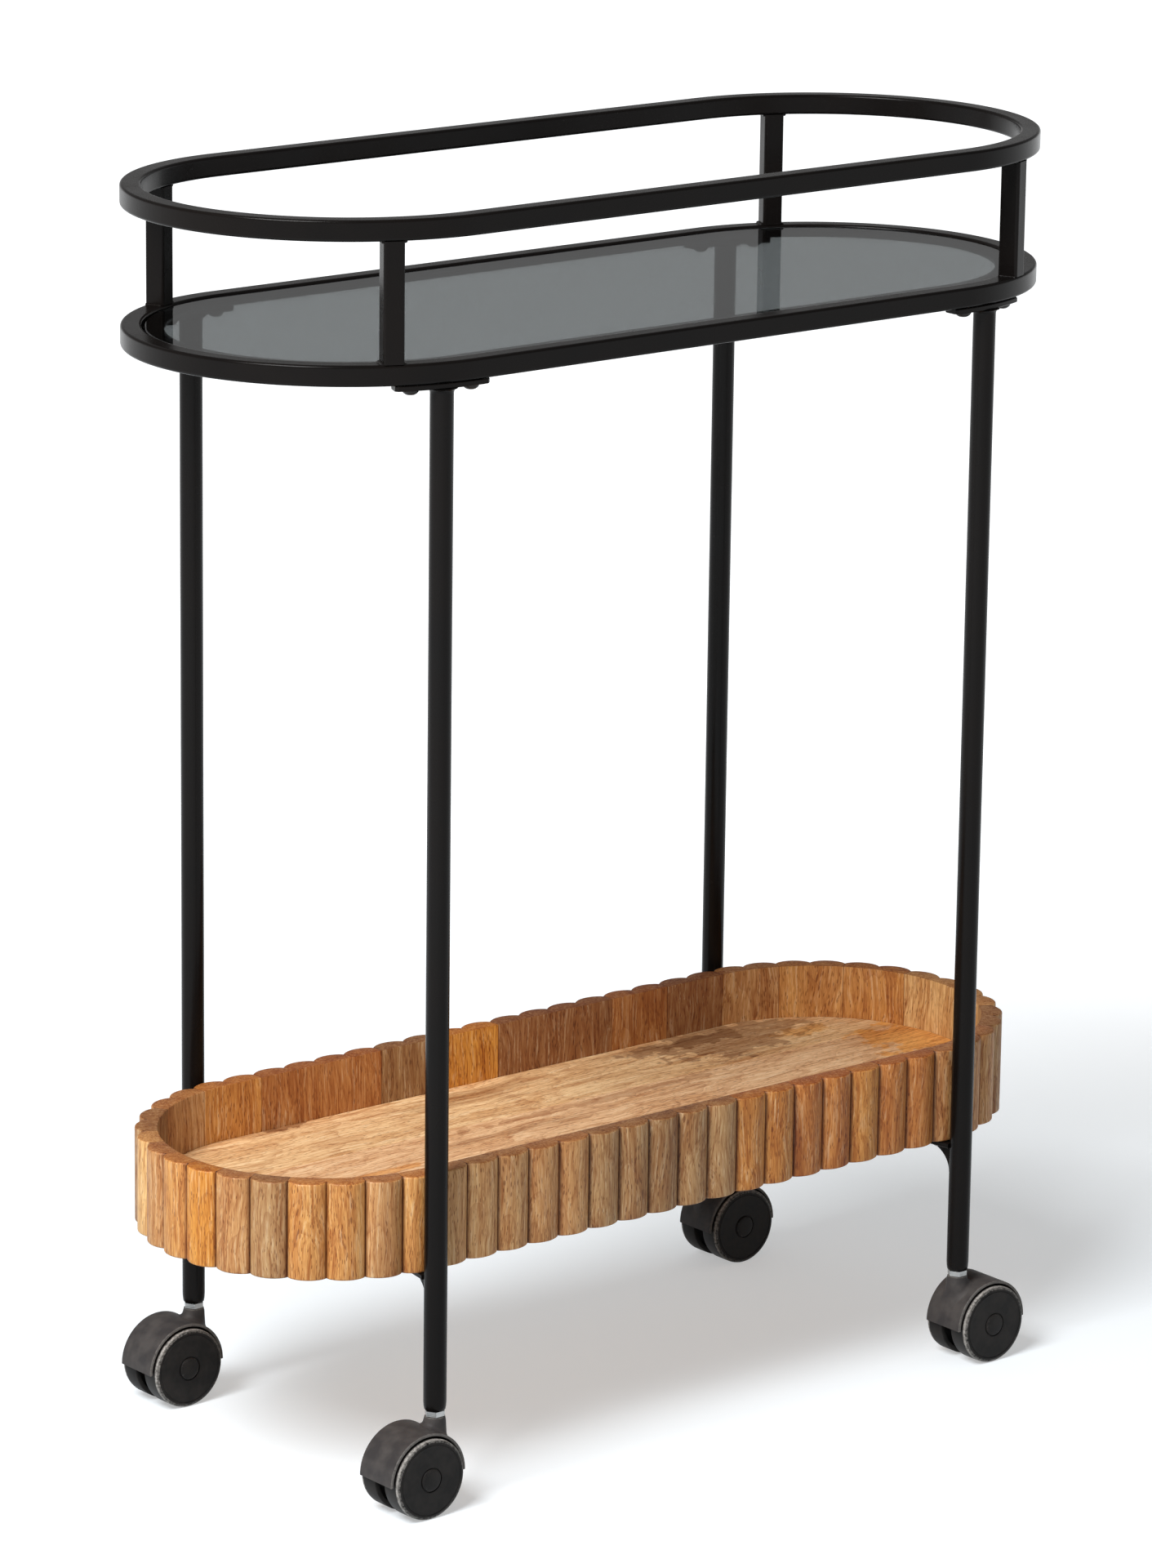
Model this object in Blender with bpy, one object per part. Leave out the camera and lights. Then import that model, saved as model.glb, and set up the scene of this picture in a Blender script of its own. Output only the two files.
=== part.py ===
"""Bar cart on four casters.

Two pill-shaped rings of square steel tube, joined by four short posts, make a gallery
round a glass shelf. Four round legs are bolted under the lower ring. They carry a fluted
wooden tray on welded brackets, and each stands on a twin-wheel swivel caster.

Metres, +Z up. The origin is on the floor under the middle of the cart. +X runs along the
cart's length and -Y is its front.
"""
import math

import bmesh
import bpy

# Overall sizes
FRAME_LENGTH = 0.640
FRAME_WIDTH = 0.260
HEIGHT = 0.780

# Clearances
TOUCH = 0.0003              # between two pieces that bear on each other
GLASS_MARGIN = 0.0015       # between the glass edge and the ring
WHEEL_CLEARANCE = 0.0012    # between a wheel's tread and its hood
WHEEL_SIDE = 0.0004         # between a wheel and the hood's web

# Steel frame
TUBE = 0.0125               # side of the square tube
TUBE_WALL = 0.0012
TUBE_CORNER = 0.0014        # outside corner radius of the square tube
GALLERY_RISE = 0.0835       # from the top of the shelf ring to the top of the rail
POST_ANGLE = math.radians(24)   # along the end's arc, from where the straight side ends
LEDGE_WIDTH = 0.013
LEDGE_THICKNESS = 0.0025

# Glass shelf
GLASS_THICKNESS = 0.005
GLASS_BELOW_RING = 0.0012   # glass top below the ring's top
GLASS_ARRIS = 0.0007

# Legs
LEG_RADIUS = 0.007
LEG_WALL = 0.0012
LEG_PLACE = 0.211           # distance along the ring from the middle of a long side
LEG_FILLET = 0.0014         # weld at the top of a leg
LEG_TAPER = 0.005           # height of the tapered foot of a leg
LEG_TAPER_IN = 0.0006
PLATE_LENGTH = 0.060
PLATE_WIDTH = 0.012
PLATE_THICKNESS = 0.003
BOLT_SPREAD = 0.0197        # from the leg's axis to a bolt, along the ring
BOLT_RADIUS = 0.0025
BOLT_DEPTH = 0.008          # of thread in the ring
BOLT_HEAD_RADIUS = 0.005
BOLT_HEAD_HEIGHT = 0.003

# Wooden tray
TRAY_CLEARANCE = 0.0006     # between the flutes' crests and the legs
TRAY_STRETCH = 0.0115       # its straight sides reach this much past the ring's, each end
TRAY_HEIGHT = 0.060
TRAY_BOTTOM = 0.145
TRAY_WALL = 0.010           # from the inner face to the valley between two flutes
FLUTE_DEPTH = 0.004
FLUTE_PITCH = 0.0234        # aimed at; the real pitch divides the outline evenly
TRAY_DEPTH = 0.035          # from the rim down to the floor
FLOOR_THICKNESS = 0.016
FLOOR_JOINTS = (-0.036, 0.033)  # Y of the joints between the floor boards

# Tray brackets
BRACKET_REACH = 0.034       # from the leg's axis to the bracket's tip
BRACKET_WIDTH = 0.014
BRACKET_THICKNESS = 0.003
GUSSET_THICKNESS = 0.005
GUSSET_DROP = 0.017
GUSSET_REACH = 0.026
TRAY_SCREW_RADIUS = 0.0018
TRAY_SCREW_LENGTH = 0.014
TRAY_SCREW_HEAD_RADIUS = 0.0038
TRAY_SCREW_HEAD_HEIGHT = 0.0022

# Casters
WHEEL_RADIUS = 0.025
WHEEL_WIDTH = 0.014
WHEEL_BEVEL = 0.0016
WHEEL_RIM = 0.0028
WHEEL_FACE = 0.004          # thickness of the wheel's disc
HUB_RADIUS = 0.0075
CAP_RADIUS = 0.007
CAP_RISE = 0.0006
TRAIL = 0.0165              # from the stem's axis to the axle
WEB_THICKNESS = 0.008
HOOD_WALL = 0.0018
HOOD_WIDTH = 0.031
KNUCKLE_RADIUS = 0.0062     # round the axle, between the wheels
BOSS_RADIUS = 0.0064
BOSS_RISE = 0.0042          # above the hood
AXLE_RADIUS = 0.002
AXLE_LENGTH = 0.030
COLLAR_INSET = 0.0015       # the hex collar's flats, inside the leg's outer face
COLLAR_HEIGHT = 0.0032
STEM_PIN_RADIUS = 0.0025
STEM_PIN_LENGTH = 0.020     # below the collar
STEM_THREAD_RADIUS = 0.0038
STEM_THREAD_LENGTH = 0.015  # above the collar
INSERT_LENGTH = 0.018

# Places that follow from the sizes above
STRAIGHT = (FRAME_LENGTH - FRAME_WIDTH) / 2      # half of a ring's straight side
RING_RADIUS = FRAME_WIDTH / 2 - TUBE / 2         # of the tube's centreline at an end
RAIL_BASE = HEIGHT - TUBE
RING_TOP = HEIGHT - GALLERY_RISE
RING_BASE = RING_TOP - TUBE
GLASS_TOP = RING_TOP - GLASS_BELOW_RING
GLASS_BASE = GLASS_TOP - GLASS_THICKNESS
LEDGE_TOP = GLASS_BASE - TOUCH
PLATE_TOP = RING_BASE - TOUCH
PLATE_BASE = PLATE_TOP - PLATE_THICKNESS
LEG_TOP = PLATE_BASE - TOUCH
HOOD_RADIUS = WHEEL_RADIUS + WHEEL_CLEARANCE + HOOD_WALL
BOSS_TOP = WHEEL_RADIUS + HOOD_RADIUS + BOSS_RISE
LEG_END = BOSS_TOP + COLLAR_HEIGHT + 2 * TOUCH
INSERT_RADIUS = LEG_RADIUS - LEG_WALL - TOUCH
BRACKET_TOP = TRAY_BOTTOM - TOUCH
FLOOR_TOP = TRAY_BOTTOM + TRAY_HEIGHT - TRAY_DEPTH

CORNERS = {
    "front_left": (-1, -1),
    "front_right": (1, -1),
    "rear_left": (-1, 1),
    "rear_right": (1, 1),
}


# ---------------------------------------------------------------- outlines

def along_ring(distance, radius=RING_RADIUS):
    """Point on the front right quarter of the ring, and how far the ring has turned there."""
    if distance <= STRAIGHT:
        return distance, -radius, 0.0
    turn = (distance - STRAIGHT) / RING_RADIUS
    return STRAIGHT + radius * math.sin(turn), -radius * math.cos(turn), turn


def tray_radius():
    """Radius of the tray's ends over its flutes, so that it just clears the legs."""
    x, y, _ = along_ring(LEG_PLACE)
    past = max(0.0, x - TRAY_STRAIGHT)
    return math.hypot(past, y) - LEG_RADIUS - TRAY_CLEARANCE


TRAY_STRAIGHT = STRAIGHT + TRAY_STRETCH
VALLEY_RADIUS = tray_radius() - FLUTE_DEPTH
INNER_RADIUS = VALLEY_RADIUS - TRAY_WALL


def pill(straight, radius, z, steps=18):
    """Pill outline: two straight sides, each 2 * straight long, and two half circles."""
    points = []
    for side in (1, -1):
        for i in range(steps + 1):
            angle = math.pi * i / steps - math.pi / 2
            points.append((side * (straight + radius * math.cos(angle)),
                           side * radius * math.sin(angle), z))
    return points


def circle(radius, z, steps):
    return [(radius * math.cos(2 * math.pi * i / steps),
             radius * math.sin(2 * math.pi * i / steps), z) for i in range(steps)]


def rounded_square(side, corner, steps=2):
    """Square with rounded corners, as (across, up) pairs about its centre."""
    points = []
    for quarter in range(4):
        start = quarter * math.pi / 2
        centre_angle = start + math.pi / 4
        reach = (side / 2 - corner) * math.sqrt(2)
        for i in range(steps):
            angle = start + (math.pi / 2) * i / (steps - 1)
            points.append((reach * math.cos(centre_angle) + corner * math.cos(angle),
                           reach * math.sin(centre_angle) + corner * math.sin(angle)))
    return points


def fluted_outline(z, steps=4):
    """The tray's outline: equal round flutes, side by side round a pill."""
    arc = math.pi * VALLEY_RADIUS
    length = 4 * TRAY_STRAIGHT + 2 * arc
    count = 4 * round(length / FLUTE_PITCH / 4)
    pitch = length / count
    points = []
    for flute in range(count):
        for i in range(steps):
            share = i / steps
            bulge = FLUTE_DEPTH * (1 - (2 * share - 1) ** 2)
            points.append(on_valley((flute + share) * pitch, VALLEY_RADIUS + bulge, arc) + (z,))
    return points


def on_valley(distance, radius, arc):
    """Point beside the pill through the flutes' valleys, at a distance along that pill."""
    side = 2 * TRAY_STRAIGHT
    turns, distance = divmod(distance, side + arc)
    sign = 1 if turns % 2 == 0 else -1
    if distance < side:
        return sign * (distance - TRAY_STRAIGHT), -sign * radius
    turn = (distance - side) / VALLEY_RADIUS
    return (sign * (TRAY_STRAIGHT + radius * math.sin(turn)), -sign * radius * math.cos(turn))


# ---------------------------------------------------------------- building

def paint(name, colour, roughness, metallic=0.0, alpha=1.0):
    """Material with a linear RGB colour."""
    material = bpy.data.materials.new(name)
    material.use_nodes = True
    shader = material.node_tree.nodes["Principled BSDF"]
    shader.inputs["Base Color"].default_value = (*colour, 1.0)
    shader.inputs["Roughness"].default_value = roughness
    shader.inputs["Metallic"].default_value = metallic
    shader.inputs["Alpha"].default_value = alpha
    return material


def skin(name, loops, closed=False):
    """Mesh through a row of loops with equally many points.

    A closed row joins its last loop to its first. An open row has its two ends filled.
    """
    mesh = bpy.data.meshes.new(name)
    bm = bmesh.new()
    rows = [[bm.verts.new(point) for point in loop] for loop in loops]
    pairs = list(zip(rows, rows[1:]))
    if closed:
        pairs.append((rows[-1], rows[0]))
    else:
        bm.faces.new(rows[0])
        bm.faces.new(rows[-1])
    for low, high in pairs:
        for i in range(len(low)):
            j = (i + 1) % len(low)
            bm.faces.new((low[i], low[j], high[j], high[i]))
    bmesh.ops.recalc_face_normals(bm, faces=bm.faces)
    bm.to_mesh(mesh)
    bm.free()
    return mesh


def turned(name, profile, steps=20, closed=False):
    """Mesh of a (radius, height) profile turned about Z."""
    return skin(name, [circle(radius, z, steps) for radius, z in profile], closed)


def rod(radius, low, high, steps=12):
    return turned("rod", [(radius, low), (radius, high)], steps)


def moved(mesh, location=(0, 0, 0), turn=0.0, lie_along_y=False):
    """The same mesh, turned about Z and shifted; lie_along_y first lays its Z axis along Y."""
    cosine, sine = math.cos(turn), math.sin(turn)
    for vertex in mesh.vertices:
        x, y, z = vertex.co
        if lie_along_y:
            y, z = -z, y
        vertex.co = (x * cosine - y * sine + location[0],
                     x * sine + y * cosine + location[1], z + location[2])
    return mesh


def joined(meshes):
    """One mesh that holds several separate bodies, for use as a cutter."""
    bm = bmesh.new()
    for mesh in meshes:
        bm.from_mesh(mesh)
        bpy.data.meshes.remove(mesh)
    result = bpy.data.meshes.new("joined")
    bm.to_mesh(result)
    bm.free()
    return result


def boolean(mesh, tool, operation):
    """Mesh left by a Boolean of two meshes. Both of them are used up."""
    base = bpy.data.objects.new("base", mesh)
    other = bpy.data.objects.new("tool", tool)
    for thing in (base, other):
        bpy.context.scene.collection.objects.link(thing)
    modifier = base.modifiers.new("Boolean", "BOOLEAN")
    modifier.operation = operation
    modifier.solver = "EXACT"
    modifier.object = other
    graph = bpy.context.evaluated_depsgraph_get()
    result = bpy.data.meshes.new_from_object(base.evaluated_get(graph))
    result.name = mesh.name
    for thing in (base, other):
        bpy.data.objects.remove(thing)
    bpy.data.meshes.remove(mesh)
    bpy.data.meshes.remove(tool)
    return result


def mirrored(mesh):
    """Copy of a mesh, mirrored left to right."""
    copy = mesh.copy()
    for vertex in copy.vertices:
        vertex.co.x = -vertex.co.x
    copy.flip_normals()
    return copy


def place(name, mesh, material, location=(0, 0, 0), turn=0.0, parent=None):
    """Named object, smooth but for its sharp edges."""
    if not mesh.materials:
        mesh.materials.append(material)
    mesh.shade_smooth()
    mesh.set_sharp_from_angle(angle=math.radians(35))
    thing = bpy.data.objects.new(name, mesh)
    thing.location = location
    thing.rotation_euler.z = turn
    thing.parent = parent
    bpy.context.scene.collection.objects.link(thing)
    return thing


def corner_place(corner, distance):
    """Place at a corner, a distance along the ring, with the turn that sets +Y inwards."""
    side, depth = CORNERS[corner]
    x, y, turn = along_ring(distance)
    back = math.pi if depth > 0 else 0.0
    return (side * x, -depth * y, 0.0), back - side * depth * turn


# ---------------------------------------------------------------- steel frame

def bolt_places():
    """Place of every bolt that holds a leg's plate to the shelf ring."""
    for corner, (side, depth) in CORNERS.items():
        for hand, step in (("inner", -BOLT_SPREAD), ("outer", BOLT_SPREAD)):
            x, y, _ = along_ring(LEG_PLACE + step)
            yield f"{corner}_{hand}", (side * x, -depth * y)


def ring_of_tube(name, base):
    """Square tube bent into a pill, its lower face at a height."""
    profile = rounded_square(TUBE, TUBE_CORNER)
    middle = base + TUBE / 2
    loops = [pill(STRAIGHT, RING_RADIUS + across, middle + up) for across, up in profile]
    return skin(name, loops, closed=True)


def build_rings(steel):
    place("top_rail", ring_of_tube("top_rail", RAIL_BASE), steel)
    holes = [moved(rod(BOLT_RADIUS + TOUCH, RING_BASE - TOUCH, RING_BASE + BOLT_DEPTH + TOUCH),
                   (x, y, 0)) for _, (x, y) in bolt_places()]
    ring = boolean(ring_of_tube("shelf_ring", RING_BASE), joined(holes), "DIFFERENCE")
    place("shelf_ring", ring, steel)


def build_ledge(steel):
    """Flat bar inside the shelf ring that the glass lies on."""
    outer = RING_RADIUS - TUBE / 2 - TOUCH
    inner = outer - LEDGE_WIDTH
    base = LEDGE_TOP - LEDGE_THICKNESS
    section = ((outer, base), (outer, LEDGE_TOP), (inner, LEDGE_TOP), (inner, base))
    loops = [pill(STRAIGHT, radius, z) for radius, z in section]
    place("shelf_ledge", skin("shelf_ledge", loops, closed=True), steel)


def build_posts(steel):
    low = RING_TOP + TOUCH
    high = RAIL_BASE - TOUCH
    outer = rounded_square(TUBE, TUBE_CORNER)
    inner = rounded_square(TUBE - 2 * TUBE_WALL, TUBE_CORNER / 2)
    section = ((outer, low), (outer, high), (inner, high), (inner, low))
    loops = [[(x, y, z) for x, y in square] for square, z in section]
    mesh = skin("post", loops, closed=True)
    for corner in CORNERS:
        location, turn = corner_place(corner, STRAIGHT + POST_ANGLE * RING_RADIUS)
        place(f"post_{corner}", mesh, steel, location, turn)


def build_glass(glass):
    outer = RING_RADIUS - TUBE / 2 - GLASS_MARGIN
    section = ((outer - GLASS_ARRIS, GLASS_BASE), (outer, GLASS_BASE + GLASS_ARRIS),
               (outer, GLASS_TOP - GLASS_ARRIS), (outer - GLASS_ARRIS, GLASS_TOP))
    place("glass_shelf", skin("glass_shelf", [pill(STRAIGHT, r, z) for r, z in section]), glass)


# ---------------------------------------------------------------- legs

def build_legs(steel, zinc):
    bore = LEG_RADIUS - LEG_WALL
    leg = turned("leg", [(LEG_RADIUS - LEG_TAPER_IN, LEG_END),
                         (LEG_RADIUS, LEG_END + LEG_TAPER),
                         (LEG_RADIUS, LEG_TOP - LEG_FILLET),
                         (LEG_RADIUS + LEG_FILLET, LEG_TOP),
                         (bore, LEG_TOP), (bore, LEG_END)], steps=16, closed=True)
    thread = STEM_THREAD_RADIUS + TOUCH
    insert = turned("insert", [(INSERT_RADIUS, LEG_END), (INSERT_RADIUS, LEG_END + INSERT_LENGTH),
                               (thread, LEG_END + INSERT_LENGTH), (thread, LEG_END)],
                    steps=16, closed=True)
    for corner in CORNERS:
        location, turn = corner_place(corner, LEG_PLACE)
        place(f"leg_{corner}", leg, steel, location, turn)
        place(f"threaded_insert_{corner}", insert, zinc, location, turn)


def build_leg_plates(steel):
    """Flat plate on each leg, bent with the ring, with two holes for its bolts."""
    steps = 8
    loops = []
    for i in range(steps + 1):
        distance = LEG_PLACE + PLATE_LENGTH * (i / steps - 0.5)
        outer = along_ring(distance, RING_RADIUS + PLATE_WIDTH / 2)[:2]
        inner = along_ring(distance, RING_RADIUS - PLATE_WIDTH / 2)[:2]
        loops.append([(*outer, PLATE_BASE), (*outer, PLATE_TOP),
                      (*inner, PLATE_TOP), (*inner, PLATE_BASE)])
    holes = [moved(rod(BOLT_RADIUS + TOUCH, PLATE_BASE - TOUCH, PLATE_TOP + TOUCH),
                   along_ring(LEG_PLACE + step)[:2] + (0,)) for step in (-BOLT_SPREAD, BOLT_SPREAD)]
    right = boolean(skin("leg_plate", loops), joined(holes), "DIFFERENCE")
    left = mirrored(right)
    place("leg_plate_front_right", right, steel)
    place("leg_plate_front_left", left, steel)
    place("leg_plate_rear_left", right, steel, turn=math.pi)
    place("leg_plate_rear_right", left, steel, turn=math.pi)


def build_bolts(dark_zinc):
    """Dome-head bolts, up through a leg's plate into the shelf ring."""
    seat = PLATE_BASE - TOUCH
    head = BOLT_HEAD_HEIGHT
    mesh = turned("bolt", [(BOLT_RADIUS, RING_BASE + BOLT_DEPTH), (BOLT_RADIUS, seat),
                           (BOLT_HEAD_RADIUS, seat), (BOLT_HEAD_RADIUS, seat - 0.2 * head),
                           (0.8 * BOLT_HEAD_RADIUS, seat - 0.7 * head),
                           (0.4 * BOLT_HEAD_RADIUS, seat - head)], steps=10)
    for name, (x, y) in bolt_places():
        place(f"leg_bolt_{name}", mesh, dark_zinc, (x, y, 0))


# ---------------------------------------------------------------- tray

def tray_screw_distance():
    """From a leg's axis inwards to the middle of the tray's wall."""
    return RING_RADIUS - INNER_RADIUS - TRAY_WALL / 2


def screw_hole(radius, low, high):
    """Four cutters for the tray's screws, one at each leg."""
    cutters = []
    for corner in CORNERS:
        (x, y, _), turn = corner_place(corner, LEG_PLACE)
        reach = tray_screw_distance()
        cutters.append(moved(rod(radius, low, high, 10),
                             (x - reach * math.sin(turn), y + reach * math.cos(turn), 0)))
    return cutters


def build_tray_wall(wood):
    top = TRAY_BOTTOM + TRAY_HEIGHT
    wall = skin("tray_wall", [fluted_outline(TRAY_BOTTOM), fluted_outline(top)])
    over = 0.01
    inside = skin("inside", [pill(TRAY_STRAIGHT, INNER_RADIUS, TRAY_BOTTOM - over),
                             pill(TRAY_STRAIGHT, INNER_RADIUS, top + over)])
    holes = screw_hole(TRAY_SCREW_RADIUS + TOUCH, TRAY_BOTTOM - TOUCH,
                       BRACKET_TOP + TRAY_SCREW_LENGTH + TOUCH)
    place("tray_wall", boolean(wall, joined([inside, *holes]), "DIFFERENCE"), wood)


def clipped(outline, limit, side):
    """Part of an outline where Y is above the limit, or below it where side is -1."""
    kept = []
    for (x0, y0, z), (x1, y1, _) in zip(outline, outline[1:] + outline[:1]):
        if side * (y0 - limit) >= 0:
            kept.append((x0, y0, z))
        if (y0 - limit) * (y1 - limit) < 0:
            share = (limit - y0) / (y1 - y0)
            kept.append((x0 + (x1 - x0) * share, limit, z))
    return kept


def build_tray_floor(wood):
    """Three boards between the walls, side by side along the tray."""
    radius = INNER_RADIUS - TOUCH
    edges = (-radius, *FLOOR_JOINTS, radius)
    for name, low, high in zip(("front", "middle", "rear"), edges, edges[1:]):
        loops = []
        for z in (FLOOR_TOP - FLOOR_THICKNESS, FLOOR_TOP):
            outline = pill(TRAY_STRAIGHT, radius, z)
            if low > -radius:
                outline = clipped(outline, low + TOUCH / 2, 1)
            if high < radius:
                outline = clipped(outline, high - TOUCH / 2, -1)
            loops.append(outline)
        place(f"floor_board_{name}", skin(f"floor_board_{name}", loops), wood)


def build_brackets(steel, zinc):
    """Plate under the tray with a gusset down the leg, and the screw that holds the tray."""
    half = BRACKET_WIDTH / 2
    tip = BRACKET_REACH - half
    outline = [(half, 0)]
    outline += [(half * math.cos(math.pi * i / 10), tip + half * math.sin(math.pi * i / 10))
                for i in range(11)]
    outline.append((-half, 0))
    base = BRACKET_TOP - BRACKET_THICKNESS
    plate = skin("tray_bracket", [[(x, y, z) for x, y in outline] for z in (base, BRACKET_TOP)])

    steps = 8
    edge = [(0, BRACKET_TOP - BRACKET_THICKNESS / 2),
            (GUSSET_REACH, BRACKET_TOP - BRACKET_THICKNESS / 2)]
    for i in range(steps + 1):
        angle = math.pi / 2 * i / steps
        edge.append((GUSSET_REACH - (GUSSET_REACH - LEG_RADIUS) * math.sin(angle),
                     base - GUSSET_DROP * (1 - math.cos(angle))))
    edge.append((0, base - GUSSET_DROP))
    gusset = skin("gusset", [[(x, y, z) for y, z in edge]
                             for x in (-GUSSET_THICKNESS / 2, GUSSET_THICKNESS / 2)])
    mesh = boolean(plate, gusset, "UNION")
    room = rod(LEG_RADIUS + TOUCH, base - GUSSET_DROP - LEG_RADIUS, BRACKET_TOP + LEG_RADIUS, 32)
    reach = tray_screw_distance()
    low = base - GUSSET_DROP
    seat = base - TOUCH
    recess = moved(rod(TRAY_SCREW_HEAD_RADIUS + TOUCH, low, base, 12), (0, reach, 0))
    hole = moved(rod(TRAY_SCREW_RADIUS + TOUCH, base - TOUCH, BRACKET_TOP + TOUCH, 10),
                 (0, reach, 0))
    for cutter in (room, recess, hole):
        mesh = boolean(mesh, cutter, "DIFFERENCE")

    head = TRAY_SCREW_HEAD_HEIGHT
    screw = turned("tray_screw", [(TRAY_SCREW_RADIUS, BRACKET_TOP + TRAY_SCREW_LENGTH),
                                  (TRAY_SCREW_RADIUS, seat), (TRAY_SCREW_HEAD_RADIUS, seat),
                                  (TRAY_SCREW_HEAD_RADIUS, seat - head / 2),
                                  (TRAY_SCREW_HEAD_RADIUS * 0.6, seat - head)], steps=10)
    for corner in CORNERS:
        (x, y, z), turn = corner_place(corner, LEG_PLACE)
        place(f"tray_bracket_{corner}", mesh, steel, (x, y, z), turn)
        inwards = (x - reach * math.sin(turn), y + reach * math.cos(turn), z)
        place(f"tray_screw_{corner}", screw, zinc, inwards, turn)


# ---------------------------------------------------------------- casters

def hood_mesh():
    """Half-round hood with a web between the wheels and a boss for the stem.

    The stem's axis is local Z, and the axle lies TRAIL along +X from it.
    """
    axle = (TRAIL, 0, WHEEL_RADIUS)
    steps = 18
    arc = [(TRAIL + HOOD_RADIUS * math.cos(math.pi * i / steps),
            WHEEL_RADIUS + HOOD_RADIUS * math.sin(math.pi * i / steps)) for i in range(steps + 1)]
    body = skin("caster_hood", [[(x, y, z) for x, z in arc]
                                for y in (-HOOD_WIDTH / 2, HOOD_WIDTH / 2)])
    knuckle = moved(rod(KNUCKLE_RADIUS, -WEB_THICKNESS / 2, WEB_THICKNESS / 2, 16),
                    axle, lie_along_y=True)
    boss = rod(BOSS_RADIUS, WHEEL_RADIUS + KNUCKLE_RADIUS, BOSS_TOP, 20)
    for extra in (knuckle, boss):
        body = boolean(body, extra, "UNION")

    beyond = HOOD_WIDTH
    wells = [moved(rod(WHEEL_RADIUS + WHEEL_CLEARANCE, low, high, 36), axle, lie_along_y=True)
             for low, high in ((-beyond, -WEB_THICKNESS / 2), (WEB_THICKNESS / 2, beyond))]
    pin = rod(STEM_PIN_RADIUS + TOUCH, BOSS_TOP - STEM_PIN_LENGTH - TOUCH, HEIGHT)
    bore = moved(rod(AXLE_RADIUS + TOUCH, -HOOD_WIDTH, HOOD_WIDTH), axle, lie_along_y=True)
    for cutter in (*wells, pin, bore):
        body = boolean(body, cutter, "DIFFERENCE")
    return body


def wheel_mesh(side):
    """One wheel of a pair about its axle: a disc with a rim and a hub open to the web."""
    face = WEB_THICKNESS / 2 + WHEEL_SIDE + WHEEL_WIDTH
    back = face - WHEEL_WIDTH
    bore = AXLE_RADIUS + TOUCH
    profile = [(CAP_RADIUS - CAP_RISE, face + CAP_RISE), (CAP_RADIUS, face),
               (WHEEL_RADIUS - WHEEL_BEVEL, face), (WHEEL_RADIUS, face - WHEEL_BEVEL),
               (WHEEL_RADIUS, back), (WHEEL_RADIUS - WHEEL_RIM, back),
               (WHEEL_RADIUS - WHEEL_RIM, face - WHEEL_FACE), (HUB_RADIUS, face - WHEEL_FACE),
               (HUB_RADIUS, back), (bore, back), (bore, AXLE_LENGTH / 2 + TOUCH)]
    mesh = turned("caster_wheel", [(radius, -side * z) for radius, z in profile], steps=20)
    return moved(mesh, lie_along_y=True)


def stem_mesh():
    """Plain pin for the hood, hex collar, and the thread that screws into the leg."""
    collar_top = LEG_END - TOUCH
    collar_base = collar_top - COLLAR_HEIGHT
    hexagon = (LEG_RADIUS - COLLAR_INSET) / math.cos(math.pi / 6)
    collar = turned("caster_stem", [(hexagon, collar_base), (hexagon, collar_top)], steps=6)
    shaft = turned("shaft", [(STEM_PIN_RADIUS, BOSS_TOP - STEM_PIN_LENGTH),
                             (STEM_PIN_RADIUS, (collar_base + collar_top) / 2),
                             (STEM_THREAD_RADIUS, (collar_base + collar_top) / 2),
                             (STEM_THREAD_RADIUS, collar_top + STEM_THREAD_LENGTH)], steps=16)
    return boolean(collar, shaft, "UNION")


def build_casters(plastic, tread, zinc):
    hood = hood_mesh()
    stem = stem_mesh()
    axle = moved(rod(AXLE_RADIUS, -AXLE_LENGTH / 2, AXLE_LENGTH / 2), lie_along_y=True)
    wheels = {"a": wheel_mesh(-1), "b": wheel_mesh(1)}
    for corner, (side, _) in CORNERS.items():
        location, _ = corner_place(corner, LEG_PLACE)
        swivel = bpy.data.objects.new(f"swivel_{corner}", None)
        swivel.location = location
        swivel.rotation_euler.z = 0.0 if side > 0 else math.pi
        bpy.context.scene.collection.objects.link(swivel)
        place(f"caster_stem_{corner}", stem, zinc, location)
        place(f"caster_hood_{corner}", hood, plastic, parent=swivel)
        centre = (TRAIL, 0, WHEEL_RADIUS)
        place(f"caster_axle_{corner}", axle, zinc, centre, parent=swivel)
        for hand, wheel in wheels.items():
            place(f"caster_wheel_{corner}_{hand}", wheel, tread, centre, parent=swivel)


def main():
    for thing in list(bpy.data.objects):
        bpy.data.objects.remove(thing)
    steel = paint("powder_coated_steel", (0.010, 0.010, 0.011), 0.42)
    glass = paint("smoked_glass", (0.14, 0.17, 0.18), 0.04, alpha=0.6)
    wood = paint("mango_wood", (0.42, 0.22, 0.09), 0.55)
    zinc = paint("zinc_plated_steel", (0.60, 0.60, 0.58), 0.35, metallic=1.0)
    dark_zinc = paint("black_zinc_bolt", (0.02, 0.02, 0.02), 0.4, metallic=1.0)
    plastic = paint("hood_nylon", (0.055, 0.052, 0.054), 0.55)
    tread = paint("wheel_nylon", (0.060, 0.058, 0.060), 0.5)

    build_rings(steel)
    build_ledge(steel)
    build_posts(steel)
    build_glass(glass)
    build_legs(steel, zinc)
    build_leg_plates(steel)
    build_bolts(dark_zinc)
    build_tray_wall(wood)
    build_tray_floor(wood)
    build_brackets(steel, zinc)
    build_casters(plastic, tread, zinc)


main()
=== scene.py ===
import math
import random

import bmesh
import bpy
from mathutils import Matrix, Vector


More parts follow.
